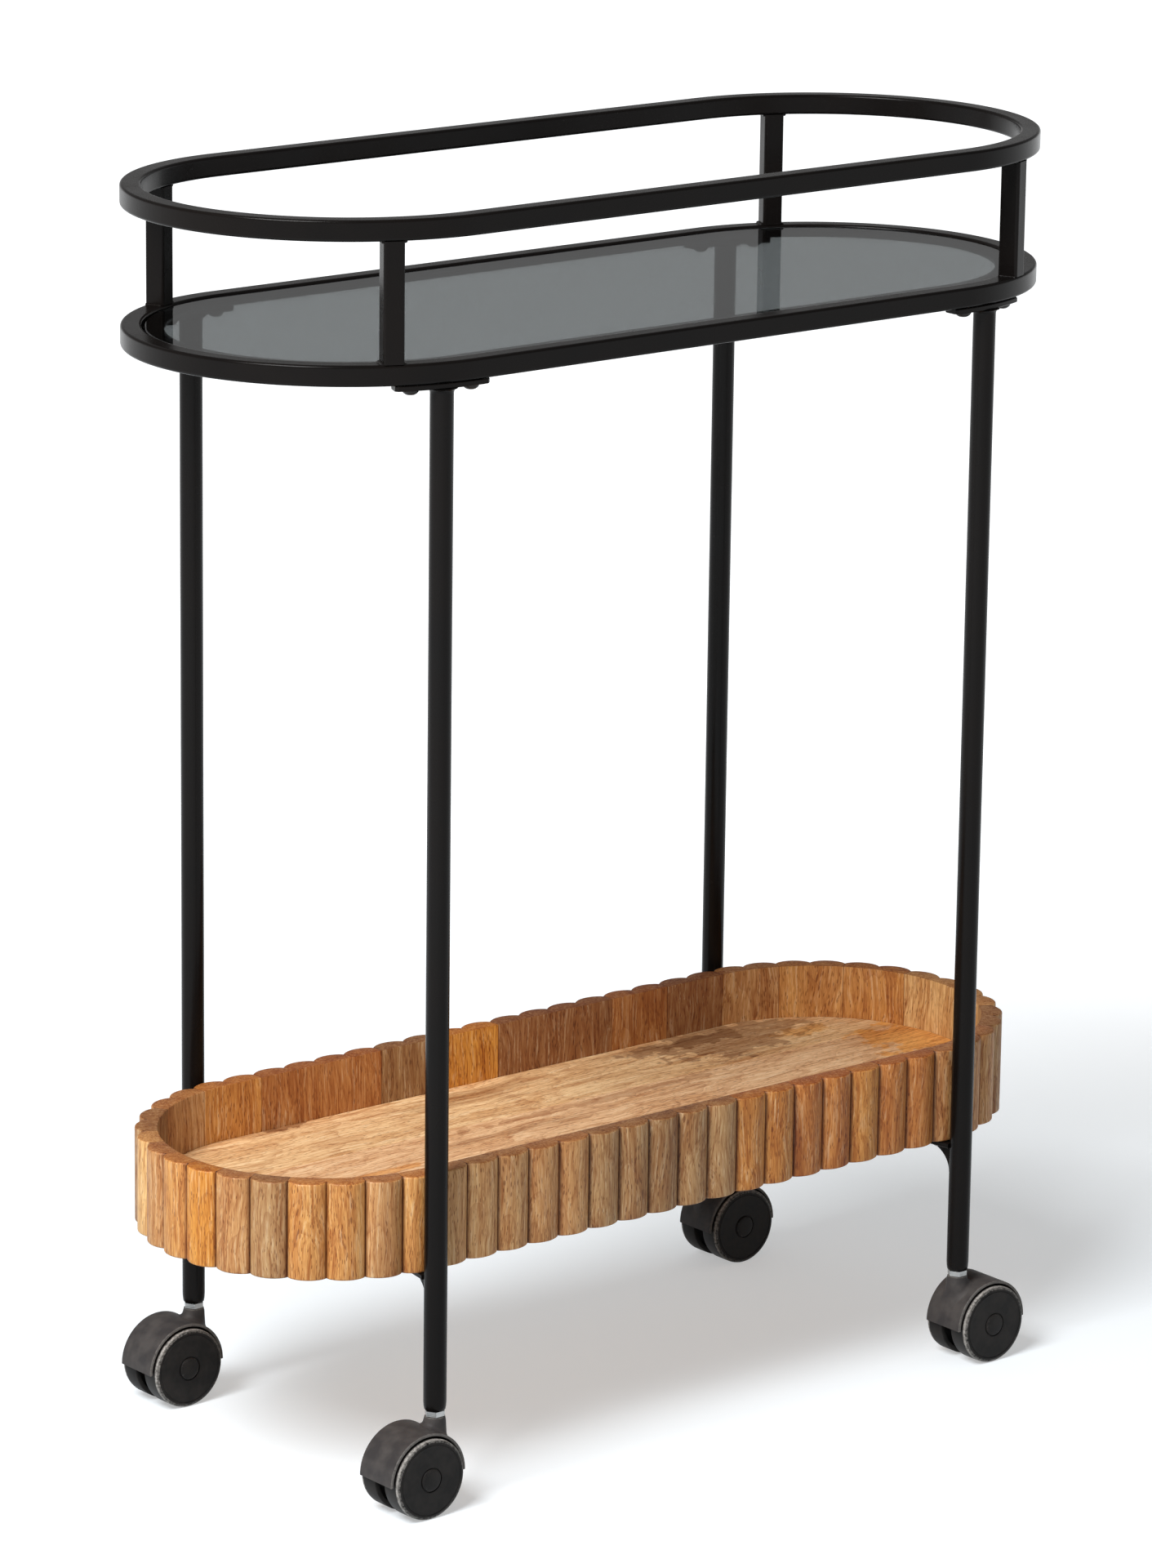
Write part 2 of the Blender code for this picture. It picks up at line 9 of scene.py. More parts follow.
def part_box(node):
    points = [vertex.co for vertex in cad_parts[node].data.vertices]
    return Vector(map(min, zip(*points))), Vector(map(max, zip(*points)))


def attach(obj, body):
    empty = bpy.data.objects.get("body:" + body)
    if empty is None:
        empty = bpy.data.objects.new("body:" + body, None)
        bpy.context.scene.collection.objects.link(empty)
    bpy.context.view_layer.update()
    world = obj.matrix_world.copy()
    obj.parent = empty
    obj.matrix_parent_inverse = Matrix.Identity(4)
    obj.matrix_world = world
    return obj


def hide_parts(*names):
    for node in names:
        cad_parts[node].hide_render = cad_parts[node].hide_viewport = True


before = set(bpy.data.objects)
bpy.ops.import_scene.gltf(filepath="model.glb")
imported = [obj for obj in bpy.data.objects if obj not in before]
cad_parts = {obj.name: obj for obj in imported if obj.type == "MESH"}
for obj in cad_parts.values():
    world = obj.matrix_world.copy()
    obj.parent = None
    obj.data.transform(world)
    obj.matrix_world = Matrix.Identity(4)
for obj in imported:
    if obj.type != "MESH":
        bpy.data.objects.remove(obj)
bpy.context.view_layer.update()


# ------------ camera
# It stands off the front left corner, a little above the rail, with a long lens so that
# the legs stay nearly parallel.
VIEW_TURN = math.radians(-39.44)
VIEW_RISE = math.radians(14.77)
VIEW_ROLL = math.radians(0.72)
CAMERA_PLACE = (-2.4707, -2.9943, 1.4104)
LENS_MM = 149.4


def in_scene(name, data):
    """New object, shown in the scene."""
    thing = bpy.data.objects.new(name, data)
    bpy.context.scene.collection.objects.link(thing)
    return thing


camera = in_scene("camera", bpy.data.cameras.new("camera"))
camera.data.sensor_width = 36.0
camera.data.lens = LENS_MM
camera.matrix_world = (Matrix.Translation(CAMERA_PLACE)
                       @ Matrix.Rotation(VIEW_TURN, 4, "Z")
                       @ Matrix.Rotation(math.pi / 2 - VIEW_RISE, 4, "X")
                       @ Matrix.Rotation(VIEW_ROLL, 4, "Z"))
bpy.context.scene.camera = camera


# ------------ studio
# A wide sheet of white paper on the floor, white surroundings, and one large soft lamp
# high on the left. The paper keeps the cart's shadow.
FLOOR_REACH = 14.0
PAPER = "#CDD4D9"
PAPER_GLOW = 0.42           # light that the paper adds near the cart, so that it reads white
PAPER_NEAR, PAPER_FAR = 0.45, 1.5   # from the cart's middle, over which that rises to 1
SKY_LEVEL = 0.23            # of the light that the surroundings throw on the cart
WALLS_LOW, WALLS_HIGH = 0.03, 0.13  # rise of a ray, over which the white walls end
LAMP_PLACE = (-2.3, -0.7, 2.8)
LAMP_AIM = (0.0, 0.0, 0.35)
LAMP_SIZE = 1.5
LAMP_WATTS = 156.0


def feed(node, inputs):
    """Sets or links a node's inputs, by their names or, from a list, in their order."""
    for key, value in inputs.items() if isinstance(inputs, dict) else enumerate(inputs):
        if isinstance(value, bpy.types.Node):
            value = value.outputs[0]
        if isinstance(value, bpy.types.NodeSocket):
            node.id_data.links.new(value, node.inputs[key])
        else:
            node.inputs[key].default_value = value


def add(tree, kind, inputs=(), **settings):
    """Adds a node, such as Math for ShaderNodeMath, with its settings and its inputs.

    An input is a value, a node or a node's output.
    """
    own = "GeometryNode" if tree.type == "GEOMETRY" else "ShaderNode"
    family = next(f for f in (own, "ShaderNode", "Node") if hasattr(bpy.types, f + kind))
    node = tree.nodes.new(family + kind)
    for name, value in settings.items():
        setattr(node, name, value)
    feed(node, inputs)
    return node


def linear(hex_colour):
    """Linear RGBA of an sRGB hex colour."""
    shares = [int(hex_colour[i:i + 2], 16) / 255 for i in (1, 3, 5)]
    return *(s / 12.92 if s <= 0.04045 else ((s + 0.055) / 1.055) ** 2.4 for s in shares), 1.0


def seen_directly(tree):
    """1 for a ray from the camera, or off or through a glossy or clear surface, else 0."""
    path = add(tree, "LightPath")
    either = add(tree, "Math", [path.outputs["Is Camera Ray"], path.outputs["Is Glossy Ray"]],
                 operation="MAXIMUM")
    return add(tree, "Math", [either, path.outputs["Is Transmission Ray"]], operation="MAXIMUM")


bpy.context.scene.view_settings.view_transform = "Standard"

paper = bpy.data.materials.new("white_paper")
paper.use_nodes = True
tree = paper.node_tree
tree.nodes.clear()
matte = add(tree, "BsdfDiffuse", {"Color": linear(PAPER)})
place = add(tree, "TexCoord").outputs["Object"]
away = add(tree, "VectorMath", [place], operation="LENGTH").outputs["Value"]
near_and_far = add(tree, "MapRange", [away, PAPER_NEAR, PAPER_FAR, PAPER_GLOW, 1.0])
glow_level = add(tree, "Math", [seen_directly(tree), near_and_far], operation="MULTIPLY")
glow = add(tree, "Emission", {"Strength": glow_level})
both = add(tree, "AddShader", [matte, glow])
add(tree, "OutputMaterial", {"Surface": both})

sheet = bpy.data.meshes.new("paper_sheet")
sheet.from_pydata([(x * FLOOR_REACH, y * FLOOR_REACH, 0.0)
                   for x, y in ((-1, -1), (1, -1), (1, 1), (-1, 1))], [], [(0, 1, 2, 3)])
sheet.materials.append(paper)
in_scene("paper_floor", sheet)

world = bpy.data.worlds.new("studio")
bpy.context.scene.world = world
world.use_nodes = True
tree = world.node_tree
tree.nodes.clear()
rise = add(tree, "SeparateXYZ", [add(tree, "TexCoord").outputs["Generated"]])
walls = add(tree, "MapRange", [rise.outputs["Z"], WALLS_LOW, WALLS_HIGH, 1.0, SKY_LEVEL])
mirrored = add(tree, "Math", [seen_directly(tree), walls], operation="MULTIPLY")
plain = add(tree, "LightPath").outputs["Is Camera Ray"]
level = add(tree, "Math", [mirrored, plain], operation="MAXIMUM")
level = add(tree, "Math", [level, SKY_LEVEL], operation="MAXIMUM")
sky = add(tree, "Background", {"Color": linear("#FFFFFF"), "Strength": level})
add(tree, "OutputWorld", {"Surface": sky})

softbox = bpy.data.lights.new("softbox", "AREA")
softbox.shape = "SQUARE"
softbox.size = LAMP_SIZE
softbox.energy = LAMP_WATTS
lamp = in_scene("softbox", softbox)
lamp.location = LAMP_PLACE
lamp.rotation_euler = (Vector(LAMP_AIM) - Vector(LAMP_PLACE)).to_track_quat("-Z", "Y").to_euler()


# ------------ rings of square tube
# Two lengths of 12.5 mm square steel tube, rolled into pills and welded shut: the rail on
# top, and the ring that holds the glass. Powder coated satin black with the rest of the
# frame, which gives an even skin with a faint orange peel.
FRAME_LOW, FRAME_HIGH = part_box("top_rail")
RING_LOW, RING_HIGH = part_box("shelf_ring")
TUBE = FRAME_HIGH.z - FRAME_LOW.z
TUBE_CORNER = 0.0016
RADIUS = FRAME_HIGH.y - TUBE / 2            # of the tube's centreline round an end
STRAIGHT = FRAME_HIGH.x - FRAME_HIGH.y      # half of a straight side
ARC_STEPS = 48                              # round each quarter of a ring's end
SHARP_FROM = math.radians(34)               # between two faces, seen as an edge
COAT_PEEL_MM = 2.6                          # wavelength of the orange peel


def millimetres(size):
    """Noise scale on coordinates in metres that gives a pattern of that size in mm."""
    return 1000.0 / size


def new_material(name):
    """Empty material with a Principled shader: (material, tree, shader, object position)."""
    material = bpy.data.materials.new(name)
    material.use_nodes = True
    tree = material.node_tree
    tree.nodes.clear()
    shader = add(tree, "BsdfPrincipled")
    add(tree, "OutputMaterial", {"Surface": shader})
    place = add(tree, "TexCoord").outputs["Object"]
    return material, tree, shader, place


def powder_coat():
    """Satin black epoxy powder, sprayed and baked on steel."""
    material, tree, shader, place = new_material("powder_coated_steel")
    patches = add(tree, "TexNoise", {"Vector": place, "Scale": millimetres(38), "Detail": 3.0})
    colour = add(tree, "MixRGB", [patches, linear("#0B0A0A"), linear("#15110F")])
    satin = add(tree, "MapRange", [patches, 0.3, 0.7, 0.20, 0.30])
    peel = add(tree, "TexNoise", {"Vector": place, "Scale": millimetres(COAT_PEEL_MM),
                                  "Detail": 1.0})
    bump = add(tree, "Bump", {"Height": peel, "Strength": 0.25, "Distance": 0.00008})
    feed(shader, {"Base Color": colour, "Roughness": satin, "Normal": bump,
                  "Specular IOR Level": 0.09})
    return material


steel = powder_coat()


def tube_section(side, corner, steps=6):
    """Rounded square, as (across, up), with a point just inside each flat's ends."""
    hold = 0.0004
    flat = side / 2 - corner
    points = []
    for quarter in range(4):
        turn = Matrix.Rotation(quarter * math.pi / 2, 2)
        row = [(flat + corner, flat - hold)]
        row += [(flat + corner * math.cos(a), flat + corner * math.sin(a))
                for a in (math.pi / 2 * i / steps for i in range(steps + 1))]
        row.append((flat - hold, flat + corner))
        points += [turn @ Vector(p) for p in row]
    return [(p.x, p.y) for p in points]


def outline_mesh(name, loops):
    """Mesh of closed outlines, edges only."""
    mesh = bpy.data.meshes.new(name)
    points, edges = [], []
    for loop in loops:
        first, count = len(points), len(loop)
        points += loop
        edges += [(first + i, first + (i + 1) % count) for i in range(count)]
    mesh.from_pydata(points, edges, [])
    return mesh


def size_tree(name, **kinds):
    """Geometry Nodes tree with a named input for each size: (tree, its inputs by name)."""
    tree = bpy.data.node_groups.new(name, "GeometryNodeTree")
    for label, kind in {"base": "Geometry", **kinds}.items():
        tree.interface.new_socket(label, in_out="INPUT", socket_type="NodeSocket" + kind)
    tree.interface.new_socket("Geometry", in_out="OUTPUT", socket_type="NodeSocketGeometry")
    return tree, {socket.name: socket for socket in add(tree, "GroupInput").outputs}


def close_tree(tree, geometry, material):
    """Ends a tree: instances made real, material set."""
    real = add(tree, "RealizeInstances", [geometry])
    painted = add(tree, "SetMaterial", {"Geometry": real, "Material": material})
    add(tree, "GroupOutput", [painted])


def written(bm, mesh):
    """Puts a bmesh into a mesh, smooth but for its sharp edges."""
    bm.to_mesh(mesh)
    bm.free()
    mesh.shade_smooth()
    mesh.set_sharp_from_angle(angle=SHARP_FROM)
    return mesh


def outward(bm, mesh):
    """Merges doubles and turns the faces outwards, on the way into a mesh."""
    bmesh.ops.remove_doubles(bm, verts=bm.verts, dist=1e-6)
    bmesh.ops.recalc_face_normals(bm, faces=bm.faces)
    return written(bm, mesh)


def piece(name, mesh, body="frame", replaced=()):
    """Shown piece that rides on a CAD body and stands for CAD nodes."""
    thing = in_scene(name, mesh)
    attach(thing, body)
    if replaced:
        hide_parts(*replaced)
    return thing


def grown(name, tree, base, **sizes):
    """Plain mesh that a tree makes from a base mesh with its named inputs set."""
    thing = in_scene(name, base)
    modifier = thing.modifiers.new(name, "NODES")
    modifier.node_group = tree
    sockets = {s.name: s.identifier for s in tree.interface.items_tree if s.in_out == "INPUT"}
    for label, value in sizes.items():
        modifier[sockets[label]] = value
    graph = bpy.context.evaluated_depsgraph_get()
    mesh = bpy.data.meshes.new_from_object(thing.evaluated_get(graph))
    mesh.name = name
    thing.modifiers.remove(modifier)
    bpy.data.objects.remove(thing)
    bm = bmesh.new()
    bm.from_mesh(mesh)
    return outward(bm, mesh)


tree, sizes = size_tree("bent_tube", straight="Float", radius="Float", height="Float",
                        steps="Int", material="Material")
long_side = add(tree, "Math", [sizes["straight"], 2.0, sizes["radius"]], operation="MULTIPLY_ADD")
length = add(tree, "Math", [long_side, sizes["radius"]], operation="ADD")
width = add(tree, "Math", [sizes["radius"], 2.0], operation="MULTIPLY")
bend = add(tree, "Math", [sizes["radius"], 0.9999], operation="MULTIPLY")
box = add(tree, "CurvePrimitiveQuadrilateral", {"Width": length, "Height": width})
pill = add(tree, "FilletCurve", {"Curve": box, "Count": sizes["steps"], "Radius": bend},
           mode="POLY")
level_path = add(tree, "SetCurveNormal", {"Curve": pill}, mode="Z_UP")
section = add(tree, "MeshToCurve", {"Mesh": sizes["base"]})
bent = add(tree, "CurveToMesh", {"Curve": level_path, "Profile Curve": section})
lift = add(tree, "CombineXYZ", {"Z": sizes["height"]})
raised = add(tree, "Transform", {"Geometry": bent, "Translation": lift})
close_tree(tree, raised, sizes["material"])
bent_tube = tree

square = outline_mesh("tube_section", [[(x, y, 0.0) for x, y in tube_section(TUBE, TUBE_CORNER)]])
for name, low in (("top_rail", FRAME_LOW.z), ("shelf_ring", RING_LOW.z)):
    mesh = grown(name + "_tube", bent_tube, square, straight=STRAIGHT, radius=RADIUS,
                 height=low + TUBE / 2, steps=ARC_STEPS, material=steel)
    piece(name + "_tube", mesh, replaced=[name])


# ------------ posts and their welds
# Four short lengths of the same tube stand between the rings, just round each end's bend.
# Each end is welded all round, ground flush outside, and left as a small bead in the
# two inner corners.
POST_TURN = math.radians(24)
BEAD_RADIUS = 0.0011
CORNERS = {"front_left": (-1, -1), "front_right": (1, -1),
           "rear_left": (-1, 1), "rear_right": (1, 1)}


def at_corner(corner, turn, reach=0.0):
    """Place on a ring's centreline at an angle round the end, moved inwards by a reach."""
    side, depth = CORNERS[corner]
    radius = RADIUS - reach
    spot = Vector((side * (STRAIGHT + radius * math.sin(turn)), depth * radius * math.cos(turn),
                   0))
    facing = (math.pi if depth > 0 else 0.0) - side * depth * turn
    return Matrix.Translation(spot) @ Matrix.Rotation(facing, 4, "Z")


def swept(name, loops, closed=False):
    """Mesh through a row of loops with equally many points, its two ends filled."""
    bm = bmesh.new()
    rows = [[bm.verts.new(p) for p in loop] for loop in loops]
    pairs = list(zip(rows, rows[1:]))
    if closed:
        pairs.append((rows[-1], rows[0]))
    else:
        bm.faces.new(rows[0])
        bm.faces.new(rows[-1])
    for low, high in pairs:
        for i in range(len(low)):
            j = (i + 1) % len(low)
            bm.faces.new((low[i], low[j], high[j], high[i]))
    return outward(bm, bpy.data.meshes.new(name))


def merged(name, meshes, material):
    """One mesh of several, each already in its place."""
    bm = bmesh.new()
    for mesh in meshes:
        bm.from_mesh(mesh)
    result = bpy.data.meshes.new(name)
    result.materials.append(material)
    return written(bm, result)


def placed(mesh, matrix):
    """Copy of a mesh, moved into its place."""
    copy = mesh.copy()
    copy.transform(matrix)
    return copy


post_low, post_high = RING_HIGH.z, FRAME_LOW.z
post_square = tube_section(TUBE, TUBE_CORNER)
post = swept("post", [[(x, y, z) for x, y in post_square]
                      for z in (post_low, post_low + 0.001, post_high - 0.001, post_high)])
for corner in CORNERS:
    mesh = placed(post, at_corner(corner, POST_TURN))
    mesh.materials.append(steel)
    piece(f"post_{corner}_tube", mesh, replaced=[f"post_{corner}"])

tree, sizes = size_tree("weld_bead", radius="Float", ripple="Float", seed="Float",
                        material="Material")
line = add(tree, "MeshToCurve", {"Mesh": sizes["base"]})
laid = add(tree, "ResampleCurve", {"Curve": line, "Length": 0.0006}, mode="LENGTH")
spot = add(tree, "InputPosition")
puddles = add(tree, "TexNoise", {"Vector": spot, "W": sizes["seed"], "Scale": millimetres(2.2),
                                 "Detail": 1.0}, noise_dimensions="4D")
thick = add(tree, "MapRange", [puddles, 0.3, 0.7, 0.55, 1.35])
bead = add(tree, "SetCurveRadius", {"Curve": laid, "Radius": thick})
round_wire = add(tree, "CurvePrimitiveCircle", {"Resolution": 12, "Radius": sizes["radius"]})
tube = add(tree, "CurveToMesh", {"Curve": bead, "Profile Curve": round_wire, "Fill Caps": True})
swell = add(tree, "Math", [puddles, 0.5], operation="SUBTRACT")
swell = add(tree, "Math", [swell, sizes["ripple"]], operation="MULTIPLY")
drip = add(tree, "VectorMath", {0: add(tree, "InputNormal"), "Scale": swell}, operation="SCALE")
lumpy = add(tree, "SetPosition", {"Geometry": tube, "Offset": drip})
close_tree(tree, lumpy, sizes["material"])
weld_bead = tree

reach = TUBE / 2 - 0.001
seams, edges = [], []
for corner in CORNERS:
    for height in (post_low, post_high):
        for hand in (-1, 1):
            place = at_corner(corner, POST_TURN)
            first = len(seams)
            across = hand * (TUBE / 2 + 0.0003)
            seams += [place @ Vector((across, y, height)) for y in (-reach, 0.0, reach)]
            edges += [(first, first + 1), (first + 1, first + 2)]
lines = bpy.data.meshes.new("weld_lines")
lines.from_pydata(seams, edges, [])
mesh = grown("post_weld_beads", weld_bead, lines, radius=BEAD_RADIUS, ripple=0.0004, seed=3.0,
             material=steel)
piece("post_weld_beads", mesh)


# ------------ ledge and glass
# A flat bar is welded inside the lower ring, and 5 mm float glass, grey all through, lies
# on it. The pane's edge is ground and polished, and looks dark green as float glass does.
GLASS_LOW, GLASS_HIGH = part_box("glass_shelf")
ARRIS = 0.0006
LEDGE_LOW, LEDGE_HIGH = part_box("shelf_ledge")
LEDGE_WIDTH = 0.013
GLASS_TINT = "#757A7B"
GLASS_EDGE = "#1E3A34"


def pill_loop(radius, z, steps=96, straight=STRAIGHT):
    """Pill outline from the front left, round the right end first."""
    points = []
    for side in (1, -1):
        for i in range(steps + 1):
            angle = math.pi * i / steps - math.pi / 2
            points.append((side * (straight + radius * math.cos(angle)),
                           side * radius * math.sin(angle), z))
    return points


def smoked_glass():
    """Grey float glass: clear, a little green at its polished edge."""
    material, tree, shader, place = new_material("smoked_float_glass")
    facing = add(tree, "SeparateXYZ", [add(tree, "NewGeometry").outputs["Normal"]])
    flat = add(tree, "Math", [facing.outputs["Z"]], operation="ABSOLUTE")
    face = add(tree, "MapRange", [flat, 0.4, 0.9])
    tint = add(tree, "MixRGB", [face, linear(GLASS_EDGE), linear(GLASS_TINT)])
    smears = add(tree, "TexNoise", {"Vector": place, "Scale": millimetres(60), "Detail": 4.0,
                                    "Roughness": 0.7})
    film = add(tree, "MapRange", [smears, 0.35, 0.75, 0.0, 0.05])
    feed(shader, {"Base Color": tint, "Roughness": film, "Transmission Weight": 1.0, "IOR": 1.5,
                  "Specular IOR Level": 0.2})
    return material


outer = GLASS_HIGH.y
pane = swept("glass_pane", [pill_loop(r, z) for r, z in (
    (outer - ARRIS, GLASS_LOW.z), (outer, GLASS_LOW.z + ARRIS),
    (outer, GLASS_HIGH.z - ARRIS), (outer - ARRIS, GLASS_HIGH.z))])
pane.materials.append(smoked_glass())
piece("glass_pane", pane, replaced=["glass_shelf"])

outer = LEDGE_HIGH.y
inner = outer - LEDGE_WIDTH
soft = 0.0004
ledge = swept("ledge_bar", [pill_loop(r, z) for r, z in (
    (outer, LEDGE_LOW.z), (outer, LEDGE_HIGH.z), (inner + soft, LEDGE_HIGH.z),
    (inner, LEDGE_HIGH.z - soft), (inner, LEDGE_LOW.z + soft), (inner + soft, LEDGE_LOW.z))],
    closed=True)
ledge.materials.append(steel)
piece("ledge_bar", ledge, replaced=["shelf_ledge"])


# ------------ legs
# Four 14 mm round tubes. A flat plate, rolled to the ring's curve, is welded on top of
# each, and a threaded insert for the caster is pressed into its slightly swaged foot.
LEG_LOW, LEG_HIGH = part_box("leg_front_left")
LEG_RADIUS = 0.007
LEG_DISTANCE = 0.211        # along the ring from the middle of a long side
LEG_TURN = (LEG_DISTANCE - STRAIGHT) / RADIUS
LEG_BORE = 0.0058
PLATE_LOW, PLATE_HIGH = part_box("leg_plate_front_left")
PLATE_REACH = 0.030
PLATE_HALF = 0.006
BOLT_SPREAD = 0.0197
BOLT_HEAD = 0.005


def turned(name, profile, steps=48, closed=False):
    """Mesh of a (radius, height) profile turned about Z."""
    ring = [(math.cos(2 * math.pi * i / steps), math.sin(2 * math.pi * i / steps))
            for i in range(steps)]
    return swept(name, [[(r * x, r * y, z) for x, y in ring] for r, z in profile], closed)


def along_ring(corner, distance, radius=RADIUS):
    """Point at a distance along the ring from the middle of a long side."""
    side, depth = CORNERS[corner]
    if distance <= STRAIGHT:
        return Vector((side * distance, depth * radius, 0.0))
    turn = (distance - STRAIGHT) / RADIUS
    return Vector((side * (STRAIGHT + radius * math.sin(turn)), depth * radius * math.cos(turn),
                   0))


foot, top = LEG_LOW.z, LEG_HIGH.z
fillet = [(LEG_RADIUS + 0.0022 * (1 - math.cos(a)), top - 0.003 * (1 - math.sin(a)))
          for a in (math.pi / 2 * i / 6 for i in range(7))]
leg = turned("leg", [(LEG_BORE, foot), (LEG_RADIUS - 0.001, foot),
                     (LEG_RADIUS - 0.0005, foot + 0.0006), (LEG_RADIUS - 0.0002, foot + 0.0025),
                     (LEG_RADIUS, foot + 0.0055), (LEG_RADIUS, foot + 0.012), *fillet,
                     (LEG_BORE, top)], closed=True)
leg.materials.append(steel)
for corner in CORNERS:
    piece(f"leg_{corner}_tube", placed(leg, at_corner(corner, LEG_TURN)),
          replaced=[f"leg_{corner}"])

low, high = PLATE_LOW.z, PLATE_HIGH.z
for corner in CORNERS:
    loops = []
    steps = 32
    for i in range(steps + 1):
        share = 2 * i / steps - 1
        half = PLATE_HALF - 0.0015 * max(0.0, (abs(share) - 0.93) / 0.07) ** 2
        ease = 0.0004
        edge = [(half, low + ease), (half, high - ease), (half - ease, high), (ease - half, high),
                (-half, high - ease), (-half, low + ease), (ease - half, low), (half - ease, low)]
        loops.append([along_ring(corner, LEG_DISTANCE + share * PLATE_REACH, RADIUS + across)
                      + Vector((0, 0, z)) for across, z in edge])
    plate = swept(f"leg_plate_{corner}_bar", loops)
    plate.materials.append(steel)
    piece(f"leg_plate_{corner}_bar", plate, replaced=[f"leg_plate_{corner}"])


# ------------ leg bolts
# Two M5 button-head bolts go up through each plate into the ring. They are blackened
# steel, with a hexagon socket in the dome.
def blackened_steel():
    """Black oxide on a machined screw: dark grey, a little metallic, oily."""
    material, tree, shader, place = new_material("blackened_steel")
    wear = add(tree, "TexNoise", {"Vector": place, "Scale": millimetres(3), "Detail": 2.0})
    colour = add(tree, "MixRGB", [wear, linear("#0D0C0C"), linear("#2B2927")])
    rough = add(tree, "MapRange", [wear, 0.0, 1.0, 0.3, 0.5])
    feed(shader, {"Base Color": colour, "Roughness": rough, "Metallic": 0.6})
    return material


def button_head(radius, height, shank, length, socket):
    """Button-head screw pointing up, its seat at the origin, with a hexagon socket."""
    rows = []
    for r, z in ((shank, length), (shank, 0.0), (radius, 0.0), (radius, -0.18 * height),
                 (0.93 * radius, -0.42 * height), (0.78 * radius, -0.7 * height),
                 (0.6 * radius, -0.9 * height), (0.5 * radius, -0.97 * height)):
        rows.append([(r * math.cos(math.pi * i / 12), r * math.sin(math.pi * i / 12), z)
                     for i in range(24)])
    for z in (-0.97 * height, -0.4 * height):
        row = []
        for i in range(24):
            angle = math.pi * i / 12
            apothem = socket * math.cos(math.pi / 6)
            r = apothem / math.cos((angle % (math.pi / 3)) - math.pi / 6)
            row.append((r * math.cos(angle), r * math.sin(angle), z))
        rows.append(row)
    return swept("button_head", rows)


tree, sizes = size_tree("set_screws", screw="Object", material="Material")
model = add(tree, "ObjectInfo", {"Object": sizes["screw"]})
turn = add(tree, "InputNamedAttribute", {"Name": "turn"}, data_type="FLOAT_VECTOR")
set_in = add(tree, "InstanceOnPoints", {"Points": sizes["base"],
                                        "Instance": model.outputs["Geometry"],
                                        "Rotation": turn.outputs["Attribute"]})
close_tree(tree, set_in, sizes["material"])
set_screws = tree


def screws(name, screw, spots, material):
    """All the screws of one kind in one mesh, each turned about its axis by its own angle."""
    model = in_scene(name + "_model", screw)
    points = bpy.data.meshes.new(name + "_points")
    points.from_pydata(spots, [], [])
    turns = points.attributes.new("turn", "FLOAT_VECTOR", "POINT")
    dice = random.Random(5)
    for value in turns.data:
        value.vector = (0.0, 0.0, dice.uniform(0, math.pi))
    mesh = grown(name, set_screws, points, screw=model, material=material)
    bpy.data.objects.remove(model)
    return mesh


seat = PLATE_LOW.z
bolt_spots = [along_ring(corner, LEG_DISTANCE + step) + Vector((0, 0, seat))
              for corner in CORNERS for step in (-BOLT_SPREAD, BOLT_SPREAD)]
bolt = button_head(BOLT_HEAD, height=0.003, shank=0.0025, length=0.010, socket=0.0017)
piece("leg_bolts", screws("leg_bolts", bolt, bolt_spots, blackened_steel()),
      replaced=[f"leg_bolt_{corner}_{hand}" for corner in CORNERS for hand in ("inner", "outer")])


# ------------ fluted tray wall
# Short upright blocks of mango wood, one to four flutes wide, are glued edge to edge into a
# pill, moulded into 64 round flutes outside, sanded smooth inside, and oiled. Every block
# has its own colour, because mango runs from straw through honey and russet to grey-brown.
WALL_LOW, WALL_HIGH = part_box("tray_wall")
FLUTES = 64
FLUTE_DEPTH = 0.004
FLUTE_CUT = 0.0012          # that the moulding cutter goes below a valley's nominal depth
WALL_THICKNESS = 0.010      # from the inner face to a valley
TRAY_STRAIGHT = STRAIGHT + 0.0115
VALLEY_RADIUS = WALL_HIGH.y - FLUTE_DEPTH
FLUTE_STEPS = 20
RIM_EASE = 0.0013           # sanded round at the flutes' ends
INNER_EASE = 0.0006
PORE_MM = (1.15, 6.5)       # spacing of the vessel lines across and along the grain
RING_MM = 5.0               # growth rings
LEAN = 0.09                 # of a block's grain, which cuts the rings into long ovals
BEND = 0.016                # that the grain wanders sideways
TONES = {"straw": "#EBBF80", "pale": "#DAAC74", "honey": "#DFA55F", "amber": "#E4A045",
         "tan": "#D19E66", "russet": "#D6974F", "rust": "#CE8A48", "chestnut": "#C18349",
         "umber": "#AA774A", "ash": "#BD9565", "dusk": "#A98256"}
BLOCKS = (("pale", 1), ("pale", 2), ("tan", 2), ("ash", 2), ("dusk", 1), ("ash", 2),
          ("russet", 2), ("rust", 2), ("russet", 1), ("rust", 2), ("tan", 3), ("ash", 2),
          ("straw", 4), ("russet", 2), ("honey", 2), ("tan", 2), ("umber", 2), ("chestnut", 2),
          ("umber", 4), ("amber", 2), ("dusk", 2), ("chestnut", 4), ("russet", 2), ("tan", 2),
          ("ash", 2), ("straw", 1), ("tan", 1), ("honey", 1), ("amber", 1), ("tan", 1),
          ("ash", 1), ("honey", 2), ("tan", 1), ("honey", 1))


